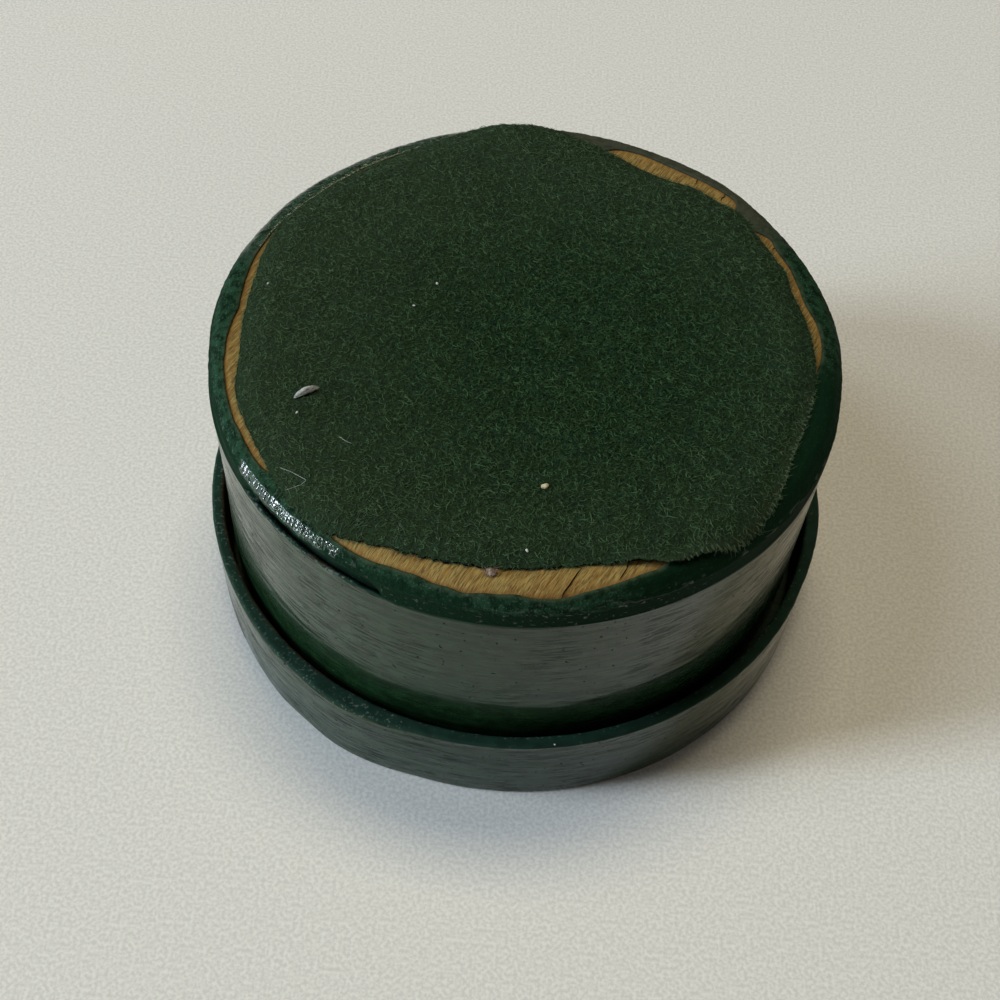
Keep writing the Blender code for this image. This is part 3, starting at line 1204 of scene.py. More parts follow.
@dataclass
class BaseBoard:
    """The base: bare wood whose worn-over rim carries a thick coat of paint."""

    finishes: Finishes
    rim_corners: tuple[Triple, ...] = (
        (3.2 * MM, 0.0, 0.0), (1.45 * MM, 0.42 * MM, 0.80 * MM), (0.02 * MM, 2.55 * MM, 0.40 * MM),
        (0.70 * MM, 5.80 * MM, 0.0),
    )
    step_height: float = 1.5 * MM
    step_gap: float = 0.3 * MM
    wood_inset: float = 0.10 * MM
    coat: float = 0.14 * MM
    coat_depth: float = 0.25 * MM
    wood_columns: int = 900
    wood_shows_from: float = 38 * MM
    wood_grain: tuple[float, float] = (5 * MM, 0.8 * MM)
    coat_columns: int = 1800
    coat_rows: int = 38
    crowding: float = 1.4
    wander: tuple[int, float] = (130, 0.10)
    lump: float = 0.09 * MM
    stroke: float = 0.035 * MM
    stroke_spacing: float = 0.87 * MM
    open_seam: Stretch = (220.5, 246.0, 4)
    deepest: Stretch = (229.0, 237.0, 8)
    seam_depth: float = 1.2 * MM
    finer_columns: Stretch = (214, 240, 3)
    brushed: Stretch = (217.5, 240, 4)
    ridged: Stretch = (200, 224.5, 2)
    calm_front: Stretch = (239, 262, 4)
    # stretches of painted shade on the rim's flanks at left and right
    painted_shade_left: Stretch = (176, 214, 8)
    painted_shade_right: Stretch = (296, 350, 12)
    # the stretch of the rim's back that gets the painted grey sheen
    back_sheen: Stretch = (40, 98, 16)
    wet_back: Stretch = (100, 158, 12)
    specked_front: Stretch = (238, 300, 10)
    specked_left: Stretch = (190, 219, 6)
    long_gleams: Stretch = (256, 334, 8)
    raised_lines: Stretch = (288, 336, 12)
    ridges: Outline = ((-0.9, 0.08), (-0.2, 0.10))
    splits: tuple[tuple[tuple[float, float], tuple[float, float], float], ...] = (
        ((9.4, -40.6), (6.8, -45.3), 0.11), ((15.5, -39.0), (14.3, -42.0), 0.08),
        ((25.0, 33.9), (25.6, 35.4), 0.09), ((29.0, 30.6), (30.0, 32.2), 0.10), ((36.8, 20.1), (37.4, 21.2), 0.07),
    )
    paint_edge: Outline = (
        (0.3, 43.05), (7, 42.85), (11.6, 42.2), (17.6, 42.15), (23.6, 42.5), (28.4, 42.5), (31.5, 42.9), (34.5, 42.0),
        (36, 41.2), (40.5, 41.2), (44, 43.5), (47, 43.75), (50, 43.6), (55, 43.35), (60, 43.1), (64.3, 43.2),
        (69, 43.2), (73, 42.6), (76, 41.5), (80, 41.8), (86, 42.6), (110, 42.4), (135, 42.2), (150, 42.6),
        (164, 43.0), (172, 42.6), (180, 42.3), (188, 43.4), (198, 44.2), (203, 44.35), (208, 44.45), (213.5, 44.4),
        (219.5, 44.45), (222.5, 43.6), (228, 43.6), (233, 44.0), (236, 44.8), (240, 45.2), (247, 45.3), (252, 45.0),
        (262, 45.5), (270, 45.2), (278, 45.5), (284, 45.0), (291, 44.4), (296, 44.2), (300, 43.4), (304, 43.2),
        (312, 43.4), (322, 42.8), (330, 41.9), (342, 41.2), (350, 41.3), (355, 42.3),
    )
    stray: Outline = (
        (0, -0.16), (6, 0.0), (35, 0.0), (40, 0.14), (45, 0.34), (50, 0.50), (55, 0.26), (60, 0.16), (66, 0.0),
        (84, 0.0), (100, -0.1), (110, -0.33), (120, -0.58), (130, -0.60), (135, -0.52), (140, -0.35), (146, -0.18),
        (155, -0.14), (165, -0.05), (175, -0.14), (180, -0.20), (186, -0.38), (195, -0.35), (203, -0.32),
        (210, -0.15), (217, 0.0), (260, 0.0), (338, 0.0), (345, -0.10), (350, -0.25), (355, -0.25),
    )

    def __post_init__(self) -> None:
        """Take the base's sizes from the frame."""
        low, (self.radius, _, self.top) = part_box("base_disc")
        self.seam = low[2] + self.step_height
        self.step_radius = inner_radius("body_band") - self.step_gap

    def edge_line(self, inset: float) -> Array:
        """The rim's profile from the flat top over the worn edge to the seam.

        Args:
            inset: How far inside the rim it runs, except at the seam.

        Returns:
            The profile's points.
        """
        corners = [
            np.array((self.radius - inset - back, self.top - inset - down)) for back, down, _ in self.rim_corners
        ]
        corners[-1][1] += inset
        line = [corners[0][None, :]]
        for before, corner, after, (_, _, soft) in zip(corners, corners[1:], corners[2:], self.rim_corners[1:]):
            start, end = (corner + unit(other - corner) * soft for other in (before, after))
            share = np.linspace(0.0, 1.0, 12)[:, None]
            line.append(start * (1 - share) ** 2 + corner * 2 * share * (1 - share) + end * share**2)
        line.append(corners[-1][None, :])
        return np.concatenate(line)

    def coat_line(self, closed: bool) -> Array:
        """The coat's path in (radius, height): over the rim, then into the seam or over it onto the hoop.

        Args:
            closed: Whether paint bridges the seam here.

        Returns:
            The path's points, from well inside the flat top.
        """
        low = self.edge_line(0.0)
        tail = np.array([(self.step_radius + 0.1 * MM, self.seam + 0.02 * MM)])
        if closed:
            low = low[low[:, 1] > self.seam + 0.75 * MM]
            tail = quarter((low[-1, 0], self.seam - 0.25 * MM), (0, 0.8 * MM), (self.radius - low[-1, 0], 0))
        return evenly(np.concatenate([[(36 * MM, self.top)], low, tail]), 0.05 * MM)

    def upper_line(self) -> Array:
        """The part of the rim's profile that faces up, with its radius rising all the way."""
        line = self.edge_line(0.0)
        return line[: int(np.argmax(line[:, 0])) + 1]

    def surface_height(self, radius: Array) -> Array:
        """The height of the board's upper side at any radius inside its rim."""
        return np.interp(radius, *self.upper_line().T)

    def hollow(self, turn: Array, height: Array) -> Array:
        """How far the rim is cut back above the open part of the seam.

        Args:
            turn: The bearing of each point, in radians.
            height: Its height.

        Returns:
            One length for each point.
        """
        above = height - self.seam
        opened = 0.4 * between(turn, *self.open_seam) + 0.6 * between(turn, *self.deepest)
        return self.seam_depth * fall(above, 0.9, 2.9) * (above > -0.01 * MM) * opened

    def strayed(self, turn: Array, radius: Array, height: Array) -> Array:
        """How far the rim stands out past its true circle, which it does not quite keep to.

        Args:
            turn: The bearing of each point, in radians.
            radius: Its radius.
            height: Its height.

        Returns:
            One length for each point.
        """
        near_rim = rise(radius, 42.5, 46.0) * rise(height - self.seam, -0.2, 0.8)
        return by_bearing(self.stray, turn) * MM * near_rim

    def build(self) -> None:
        """Make the board, its coat and its splits."""
        self.build_wood()
        self.build_coat()
        self.build_splits()

    def build_wood(self) -> None:
        """The wooden board, with its grain cut into the bare ring that shows."""
        edge = self.edge_line(self.wood_inset)
        level, ring, foot = self.top - self.wood_inset, self.wood_shows_from, self.seam - self.step_height
        parts = [
            evenly([(0.3 * MM, level), (ring, level)], 5 * MM),
            evenly([(ring, level), tuple(edge[0])], 0.22 * MM)[1:],
            evenly(edge, 0.3 * MM)[1:],
            evenly([(self.step_radius, self.seam), (self.step_radius, foot)], 0.5 * MM),
            evenly([(self.step_radius - 1 * MM, foot), (0.3 * MM, foot)], 1.2 * MM),
        ]
        turning = Turning(np.concatenate(parts), self.wood_columns, closed=False)
        flat = turning.points(0.0)
        height = flat[..., 2]
        along, across = rotate(flat[..., 0], flat[..., 1], BareWood.grain_bearing)
        lines = drift(stacked(along / self.wood_grain[0], across / self.wood_grain[1], 0.0), 31)
        shows = (height > self.top - 2.5 * MM) & (np.hypot(flat[..., 0], flat[..., 1]) > ring)
        inwards = self.hollow(turning.bearing, height) - self.strayed(turning.bearing, turning.radius, height)
        points = turning.points(np.where(shows, 0.03 * MM * (lines - 1.0), 0.0), inwards)
        board = woven("base_board", points, capped=True)
        from_edge = np.abs(by_bearing(self.paint_edge, turning.bearing) * MM - turning.radius)
        mark(board, height.shape, soaked=np.clip(1.0 - from_edge / (0.8 * MM), 0.0, 1.0))
        settle(board, Body.BOX, Slot.BARE_WOOD, self.finishes.wood, "base_disc")

    def build_coat(self) -> None:
        """The coat: it starts in a thick lip on the flat, and runs over the rim and down to the seam."""
        even = np.linspace(0.0, FULL_TURN, 3601)
        crowd = np.concatenate([[0.0], np.cumsum(1.0 + self.crowding * between(even[1:], *self.finer_columns))])
        bearing = np.interp(np.linspace(0.0, crowd[-1], self.coat_columns, endpoint=False), crowd, even)
        laps, size = self.wander
        wander = size * drift(stacked(bearing / FULL_TURN * laps, 0.0, 0.0), 41, laps)
        start_radius = (by_bearing(self.paint_edge, bearing) + wander) * MM
        share = np.linspace(0.0, 1.0, self.coat_rows)[:, None]
        share = share * (0.75 + 0.25 * share)
        turn = np.broadcast_to(bearing[None, :], (self.coat_rows, self.coat_columns))
        opened = between(turn, *self.open_seam)
        shapes = []
        for closed in (True, False):
            line = self.coat_line(closed)
            steps = walked(line)
            widest = int(np.argmax(np.where(line[:, 1] > self.seam + 1.0 * MM, line[:, 0], 0.0)))
            start = np.interp(start_radius, line[: widest + 1, 0], steps[: widest + 1])[None, :]
            reach = start + (steps[-1] - start) * share
            way = unit(np.gradient(line, axis=0))
            read = [np.interp(reach, steps, part) for part in (*line.T, -way[:, 1], way[:, 0])]
            shapes.append(np.stack([*read, reach - steps[widest], reach - start]))
        radius, height, out, up, past_widest, from_lip = shapes[0] * (1 - opened) + shapes[1] * opened
        self.turn, self.past_widest = turn, past_widest
        relief = self.coat_relief(from_lip)
        radius = radius - self.hollow(turn, height) + self.strayed(turn, radius, height)
        outer = around(radius + out * relief, turn, height + up * relief)
        under = around(radius - out * self.coat_depth, turn, height - up * self.coat_depth)[::-4]
        coat = woven("rim_coat", np.concatenate([outer, under]))
        # painted shade: darker below the widest line and on the flanks at left and right, and darker over the calm
        # front as well
        calm = between(turn, *self.calm_front) * rise(past_widest, -1.6, -0.9)
        left = between(turn, *self.painted_shade_left) * rise(past_widest, -1.4, -0.5)
        sides = np.maximum(left, between(turn, *self.painted_shade_right))
        marks = {
            "sheen": self.sheen(),
            "band": self.band(),
            # where the painted lip sheen lies
            "lip": fall(from_lip, 0.15, 0.75),
            # where the painted grey sheen lies on the rim's back
            "back_sheen": 0.9 * between(turn, *self.back_sheen),
            "painted_shade": np.clip(np.maximum(np.maximum(rise(past_widest, 0.4, 0.9), 0.8 * calm), sides), 0.0, 1.0),
            "across": turn * self.radius / MM,
            "down": past_widest / MM,
            "early": between(turn, *self.ridged),
        }
        doubled = {name: np.concatenate([values, values[::-4]]) for name, values in marks.items()}
        mark(coat, doubled["down"].shape, **doubled)
        settle(coat, Body.BOX, Slot.BOX_PAINT, self.finishes.rim)

    def cells(self, width: float, length: float, seed: int) -> Array:
        """Smooth random values on the rim.

        Args:
            width: How far the values stay alike round the turn, in millimetres.
            length: How far they stay alike along the profile.
            seed: Which field to read.

        Returns:
            Values from -1 to 1, one for each point of the coat.
        """
        lap = round(FULL_TURN * self.radius / (width * MM))
        return drift(stacked(self.turn / FULL_TURN * lap, self.past_widest / (length * MM), 0.0), seed, lap)

    def band(self) -> Array:
        """Where the brush left small wet ridges and dabs.

        Returns:
            Values from 0 to 1, one for each point.
        """
        patchy = 0.85 + 0.75 * self.cells(1.3, 0.8, 44)
        where = between(self.turn, *self.brushed) * rise(self.past_widest, -2.2, -1.7)
        return np.clip(where * fall(self.past_widest, -0.5, -0.1) * patchy, 0.0, 1.0)

    def sheen(self) -> Array:
        """How glossy the coat is: its wet band, its back and a few specks are.

        Returns:
            Values from 0 to 1, one for each point.
        """
        turn, past_widest = self.turn, self.past_widest
        back = between(turn, *self.wet_back) * fall(past_widest, -1.4, -0.6)
        front = ease(self.cells(0.5, 0.35, 47), 0.62, 0.80) * between(turn, *self.specked_front)
        left = ease(self.cells(0.40, 0.30, 49), 0.50, 0.72) * between(turn, *self.specked_left)
        left = left * rise(past_widest, -2.2, -1.6) * fall(past_widest, -0.9, -0.4)
        long = ease(self.cells(1.4, 0.22, 48), 0.25, 0.60) * between(turn, *self.long_gleams)
        long = long * rise(past_widest, -1.0, -0.6) * fall(past_widest, -0.1, 0.2)
        wet = ease(self.band(), 0.35, 0.55) + 0.55 * front * rise(past_widest, -2.4, -1.6)
        return np.clip(back + wet + 0.45 * long + 0.45 * left, 0.0, 1.0)

    def coat_relief(self, from_lip: Array) -> Array:
        """How far the coat stands off the board.

        Args:
            from_lip: The way of each point from the coat's inner edge.

        Returns:
            The coat's thickness at each point, its lumps and brush strokes included.
        """
        def hump(lengths: Array, middle: Array | float, width: float) -> Array:
            """A round ridge over lengths, at a middle in metres and this many millimetres wide."""
            return np.exp(-(((lengths - middle) / (width * MM)) ** 2))

        band, cells, past_widest = self.band(), self.cells, self.past_widest
        lumps = self.lump * (0.5 * cells(1.2, 1.0, 42) + 0.5 * cells(0.55, 0.45, 43)) * (1.0 - 0.85 * band)
        waves = round(FULL_TURN * self.radius / self.stroke_spacing)
        strokes = np.abs(np.sin(0.5 * self.turn * waves + 0.9 * cells(2.6, 9.0, 45)))
        texture = lumps * (0.35 + 0.65 * rise(from_lip, 0.3, 1.3)) + self.stroke * strokes * band
        for offset, tall in self.ridges:
            middle = (offset + 0.12 * cells(9, 50, 46)) * MM
            ridge = hump(past_widest, middle, 0.16) * between(self.turn, *self.raised_lines)
            texture = texture + tall * MM * ridge
        lip = np.sqrt(np.clip(from_lip / (0.22 * MM), 0.0, 1.0))
        bead = 0.03 * MM * hump(from_lip, 0.3 * MM, 0.25)
        return lip * (self.coat + bead + texture * (1.0 - 0.8 * rise(past_widest, 0.5, 1.1)))

    def build_splits(self) -> None:
        """Short drying splits along the grain of the bare wood."""
        share = np.linspace(0.0, 1.0, 14)
        for number, (begin, end, width) in enumerate(self.splits, start=1):
            start, stop = np.array(begin) * MM, np.array(end) * MM
            ahead = stop - start
            side = unit(np.array([-ahead[1], ahead[0]]))
            wobble = drift(stacked(share * 5, number, 0.0), 51)
            flat = start + ahead * share[:, None] + side * (0.14 * MM * wobble)[:, None]
            height = self.surface_height(np.hypot(*flat.T)) - 0.10 * MM
            thick = width * MM * np.sqrt(np.sin(np.pi * np.clip(share, 0.02, 0.98)))
            split = tubes(f"split_{number}", np.column_stack([flat, height])[None], thick[None], sides=6)
            settle(split, Body.BOX, Slot.BARE_WOOD, self.finishes.split)


@dataclass
class FeltPad:
    """The felt pad: hand-cut wool felt glued to the base, with its nap and its loose hairs."""

    finishes: Finishes
    board: BaseBoard
    cells: int = 270
    edge_rows: int = 5
    nap: float = 0.10 * MM
    edge_thickness: float = 0.62 * MM
    edge_press: float = 4.0
    slip: float = 0.45 * MM
    lift: float = 0.65 * MM
    hairs: int = 260
    curls: int = 28000
    fringe: int = 2600
    tuft: float = math.radians(1.0)
    seed: int = 7
    tooth_spacing: float = 1.35 * MM
    tooth_depth: float = 0.32
    ragged_laps: int = 600
    frayed: Stretch = (302.0, 345.0, 6)
    fray_spots: tuple[Stretch, Stretch] = ((33, 43, 2), (74, 82, 2))
    rolled: tuple[float, float] = (291.5, 304.5)
    toothed_back: Stretch = (76, 108, 6)
    toothed_right: Stretch = (303, 352, 10)
    ragged_front: Stretch = (236, 300, 10)
    shaded_edge: Stretch = (222, 348, 4)
    tufted_edge: Stretch = (303, 346, 3)
    stray: Outline = (
        (2, 0.35), (10, 0.50), (17, 0.50), (22, 0.60), (27, 0.70), (33, 0.30), (41, 0.65), (45, 0.25), (52, 0.85),
        (57, 0.30), (67, 0.0), (74, 0.45), (78, 0.65), (87, 0.75), (101, 0.75), (107, 0.2), (120, 0.0), (150, 0.0),
        (200, 0.15), (209, -0.10), (215, -0.15), (220, -0.35), (223, -0.05), (228, 0.45), (231, 0.80), (236, 1.15),
        (241, 0.90), (247, 0.35), (254, 0.10), (285, 0.10), (292, 0.45), (297, 0.50), (302, 0.0), (305, -0.20),
        (310.5, 0.30), (316, -0.10), (324, -0.35), (333, -0.25), (342, 0.0), (352, 0.15),
    )

    def __post_init__(self) -> None:
        """Take the pad's outline and heights from its solid in the frame."""
        self.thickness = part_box("felt_pad")[1][2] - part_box("base_disc")[1][2]
        x, y, _ = corners_of(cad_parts["felt_pad"]).T
        radius, bearing = np.hypot(x, y), np.arctan2(y, x) % FULL_TURN
        rim = radius > 1 * MM
        order = np.argsort(bearing[rim])
        self.rim_bearing, self.rim_radius = bearing[rim][order], radius[rim][order]
        self.draw = np.random.default_rng(self.seed)

    def outline(self, bearing: Array) -> Array:
        """The cut's radius, with the teeth that the shears left.

        Args:
            bearing: The bearings to read it at, in radians.

        Returns:
            One radius for each bearing.
        """
        radius = np.interp(bearing % FULL_TURN, self.rim_bearing, self.rim_radius, period=FULL_TURN)
        toothed = 0.14 + 0.86 * between(bearing, *self.toothed_back) + 0.55 * between(bearing, *self.toothed_right)
        teeth = np.abs((bearing * radius / self.tooth_spacing) % 1.0 * 2.0 - 1.0) - 0.5
        ragged = drift(stacked(bearing / FULL_TURN * self.ragged_laps, 0.0, 0.0), 61, self.ragged_laps)
        rough = 0.10 + 0.10 * between(bearing, *self.ragged_front)
        return radius + (self.tooth_depth * toothed * teeth + rough * ragged + by_bearing(self.stray, bearing)) * MM

    def inside(self, radius: Array, bearing: Array) -> Array:
        """How far points lie inside the cut edge, from their radius and bearing."""
        return self.outline(bearing) - radius

    def fray(self, radius: Array, bearing: Array) -> Array:
        """How far the wool is rubbed pale along its cut edge at the right.

        Args:
            radius: The radius of each point.
            bearing: Its bearing, in radians.

        Returns:
            Values from 0 to 1, one for each point.
        """
        inside = self.inside(radius, bearing)
        broad = between(bearing, *self.frayed) * fall(inside, 0.3, 1.8)
        stretches = ((*self.rolled, 2), *self.fray_spots)
        narrow = np.max([between(bearing, *stretch) for stretch in stretches], axis=0) * fall(inside, 0.35, 0.75)
        return np.maximum(broad, narrow)

    def on_top(self, x: Array, y: Array, above: Array | float) -> Array:
        """Points at true places x and y, this far above the pad's upper side."""
        cut = y - self.slip
        return self.laid(x, cut, above + self.thickness_at(np.hypot(x, cut), np.arctan2(cut, x)))

    def laid(self, x: Array, y: Array, above: Array | float) -> Array:
        """Points over the board, which lean outwards where the felt bends down over the rim.

        Args:
            x: Where each point lies across the cut.
            y: Where it lies along the cut, from the cut's own middle.
            above: How far it lies above the board.

        Returns:
            The points, with their three numbers on a new last axis.
        """
        y = y + self.slip
        radius, bearing = np.hypot(x, y), np.arctan2(y, x)
        line = self.board.upper_line()
        down = unit(np.gradient(line, axis=0))[:, 1]
        out = np.interp(radius, line[:, 0], -down) * rise(radius - line[0, 0], -0.6, 0.6)
        height = np.interp(radius, *line.T) + np.sqrt(1.0 - out**2) * above
        return around(radius + out * above, bearing, height)

    def laid_round(self, radius: Array, bearing: Array, above: Array) -> Array:
        """The same as laid(), for places given by their radius and bearing on the cut."""
        return self.laid(radius * np.cos(bearing), radius * np.sin(bearing), above)

    def thickness_at(self, radius: Array, bearing: Array) -> Array:
        """The pad's thickness: pressed thin along its cut edge, and full further in."""
        full = rise(self.inside(radius, bearing), -0.5, self.edge_press)
        return self.edge_thickness + (self.thickness - self.edge_thickness) * full

    def raised(self, radius: Array, bearing: Array) -> Array:
        """How far the pad has come unstuck near its cut edge at the front right."""
        return self.lift * between(bearing, *self.rolled, 5) * fall(self.inside(radius, bearing), 0.0, 2.2)

    def build(self) -> None:
        pad = self.build_pad()
        settle(pad, Body.BOX, Slot.FELT, self.finishes.felt, "felt_pad")
        hairs = [self.build_hairs(f"felt_hairs_{part}", self.hairs // 2) for part in (1, 2)]
        curls = [self.build_curls(f"felt_curls_{part}", self.curls // 4) for part in (1, 2, 3, 4)]
        fringe = self.build_fringe("felt_fringe", self.fringe)
        for piece in (*hairs, *curls, fringe):
            settle(piece, Body.BOX, Slot.FELT, self.finishes.hair if piece in hairs else self.finishes.curl)
        across = float(self.rim_radius.mean() * 2)
        area = float(math.pi * (self.rim_radius**2).mean())

    def build_pad(self) -> Piece:
        """The pad itself: a fine grid mapped from a square onto the cut outline, with its cut edge.

        Returns:
            The new piece.
        """
        steps = np.linspace(-1.0, 1.0, self.cells + 1)
        a, b = np.meshgrid(steps, steps, indexing="ij")
        wide = np.abs(a) >= np.abs(b)
        reach = np.where(wide, a, b)
        safe = np.where(np.abs(reach) < TINY, TINY, reach)
        angle = np.where(wide, math.pi / 4 * b / safe, math.pi / 2 - math.pi / 4 * a / safe)
        bearing = (angle + np.where(reach < 0, math.pi, 0.0)) % FULL_TURN
        radius = np.abs(reach) * self.outline(bearing)
        places = around(radius, bearing, 0.0) / MM
        nap = 0.45 * drift(places / 0.55, 62) + 0.3 * drift(places / 1.3, 63) + 0.6 * drift(places / 6.0, 64)
        rounded = 0.30 * MM * fall(self.inside(radius, bearing), 0.0, 0.5) ** 2
        above = self.thickness_at(radius, bearing) + self.nap * nap - rounded + self.raised(radius, bearing)
        last = self.cells
        near, far = np.arange(last), last - np.arange(last)
        rows = np.concatenate([0 * near, near, 0 * near + last, far])
        columns = np.concatenate([near, 0 * near + last, far, 0 * near])
        edge_bearing, edge_radius, edge_above = (part[rows, columns] for part in (bearing, radius, above))
        floor = self.raised(edge_radius, edge_bearing) + 0.02 * MM
        skirt = []
        for share in np.linspace(0.0, 1.0, self.edge_rows + 1)[1:]:
            fuzz = drift(stacked(edge_bearing * 120, 7 * share, 0.0), 65)
            level = edge_above * (1.0 - share) + floor * share
            skirt.append(self.laid_round(edge_radius + 0.09 * MM * fuzz, edge_bearing, level))
        points = np.concatenate([self.laid_round(radius, bearing, above).reshape(-1, 3), *skirt])
        numbers = np.arange((last + 1) ** 2).reshape(last + 1, last + 1)
        faces = stacked(numbers[:-1, :-1], numbers[1:, :-1], numbers[1:, 1:], numbers[:-1, 1:]).reshape(-1, 4).tolist()
        upper = numbers[rows, columns]
        for row in range(self.edge_rows):
            lower = (last + 1) ** 2 + row * len(rows) + np.arange(len(rows))
            faces.extend(stacked(lower, np.roll(lower, -1), np.roll(upper, -1), upper).tolist())
            upper = lower
        faces.append(upper.tolist())
        pad = face_out(add_piece("felt_sheet", points, faces))
        fray = self.fray(radius, bearing)
        shaded = between(edge_bearing, *self.shaded_edge)
        marks = {"fray": (fray.ravel(), fray[rows, columns]), "shaded": (np.zeros(fray.size), shaded)}
        for name, (top, edge) in marks.items():
            mark(pad, (len(points),), **{name: np.concatenate([top, *[edge] * self.edge_rows])})
        return pad

    def scatter(self, count: int) -> tuple[Array, Array]:
        """Random places on the pad, even over its area.

        Args:
            count: How many.

        Returns:
            Their radius and their bearing.
        """
        bearing = self.draw.uniform(0.0, FULL_TURN, count)
        radius = np.sqrt(self.draw.uniform(0.0, 1.0, count)) * (self.outline(bearing) - 0.6 * MM)
        return radius, bearing

    def curly(self, start: Array, length: Array, bend: Array, lift: Array, points: int) -> Array:
        """Paths of curly hairs that lie on the pad and lift off it in the middle.

        Args:
            start: Where they begin, (hairs, 2).
            length: How long each is.
            bend: How far each turns in all, in radians.
            lift: How high each lifts off the pad.
            points: How many points a path has.

        Returns:
            The paths, (hairs, points, 3).
        """
        share = np.linspace(0.0, 1.0, points)[None, :]
        ranges = ((0.0, FULL_TURN), (-1.2, 1.2), (0.0, FULL_TURN))
        heading, swing, phase = (self.draw.uniform(low, high, len(start))[:, None] for low, high in ranges)
        heading = heading + bend[:, None] * share + swing * np.sin(share * 5.0 + phase)
        step = length[:, None] / (points - 1)
        x = start[:, 0:1] + np.cumsum(np.cos(heading) * step, axis=1)
        y = start[:, 1:2] + np.cumsum(np.sin(heading) * step, axis=1)
        bearing = np.arctan2(y, x)
        radius = np.minimum(np.hypot(x, y), self.outline(bearing) - 0.1 * MM)
        above = self.thickness_at(radius, bearing) + self.raised(radius, bearing)
        return self.laid_round(radius, bearing, above + 0.02 * MM + lift[:, None] * np.sin(np.pi * share))

    def build_hairs(self, name: str, count: int) -> Piece:
        """Long pale hairs, thicker on the ground towards the back of the pad.

        Args:
            name: The piece's name.
            count: How many hairs.

        Returns:
            The new piece.
        """
        start = around(*self.scatter(count * 2), 0.0)[:, :2]
        likely = 0.35 + 0.65 * rise(start[:, 1], -20, 34)
        start = start[np.flatnonzero(self.draw.uniform(0.0, 1.0, len(start)) < likely)[:count]]
        amount = len(start)
        length = self.draw.gamma(3.0, 0.9, amount) * MM + 0.8 * MM
        bend = self.draw.normal(0.0, 1.7, amount)
        lift = self.draw.uniform(0.02, 0.40, amount) * MM
        paths = self.curly(start, length, bend, lift, 12)
        return tubes(name, paths, tapered(self.draw.uniform(0.009, 0.020, amount), 12))

    def build_curls(self, name: str, count: int) -> Piece:
        """The short curls that make up the nap.

        Args:
            name: The piece's name.
            count: How many curls.

        Returns:
            The new piece.
        """
        radius, bearing = self.scatter(count)
        length = self.draw.uniform(0.4, 1.9, count) * MM
        bend = self.draw.normal(0.0, 2.2, count)
        lift = self.draw.uniform(0.02, 0.16, count) * MM
        paths = self.curly(around(radius, bearing, 0.0)[:, :2], length, bend, lift, 5)
        nap = tubes(name, paths, tapered(self.draw.uniform(0.022, 0.050, count), 5))
        tone = self.draw.uniform(0.0, 1.0, count) ** 3.0
        mark(nap, (count, 15), tone=tone[:, None], fray=self.fray(radius, bearing)[:, None])
        return nap

    def build_fringe(self, name: str, count: int) -> Piece:
        """Short hairs that stand out of the cut edge.

        Args:
            name: The piece's name.
            count: How many hairs.

        Returns:
            The new piece.
        """
        bearing = self.draw.uniform(0.0, FULL_TURN, count)
        tufted = between(bearing, *self.tufted_edge)
        tuft = np.round(bearing / self.tuft)
        middle = (tuft + 0.35 * np.sin(tuft * 12.9)) * self.tuft
        bearing = bearing + 0.75 * tufted * (middle - bearing)
        share = np.linspace(0.0, 1.0, 6)[None, :]
        rolled = between(bearing, *self.rolled, 2)
        reach = (self.draw.gamma(2.0, 0.16, count) * (1.0 - 0.60 * tufted) * (1.0 - 0.9 * rolled))[:, None] * MM
        slant, curl = (self.draw.normal(0.0, 0.5, count)[:, None] * (1.0 + 3.0 * tufted)[:, None] for _ in range(2))
        level = (self.draw.uniform(0.15, 1.0, count) * (1 - tufted) + tufted * 1.1)[:, None] * self.edge_thickness
        edge = self.outline(bearing)[:, None]
        start = 0.25 * MM + (0.3 * tufted * self.draw.uniform(0.0, 1.0, count))[:, None] * MM
        turn = bearing[:, None] + (slant * share + curl * share**2) * reach / edge
        droop = self.draw.uniform(-0.4, 0.5, count)[:, None] * reach * share**2
        above = np.maximum(level + droop, 0.05 * MM) + self.raised(edge, turn)
        paths = self.laid_round(edge - start + (reach + start) * share, turn, above)
        fringe = tubes(name, paths, tapered(self.draw.uniform(0.012, 0.024, count), 6, (-1,)))
        tone = self.draw.uniform(0.0, 0.8, count)
        mark(fringe, (count, 18), tone=tone[:, None], fray=0.8 * between(bearing, *self.frayed)[:, None])
        return fringe


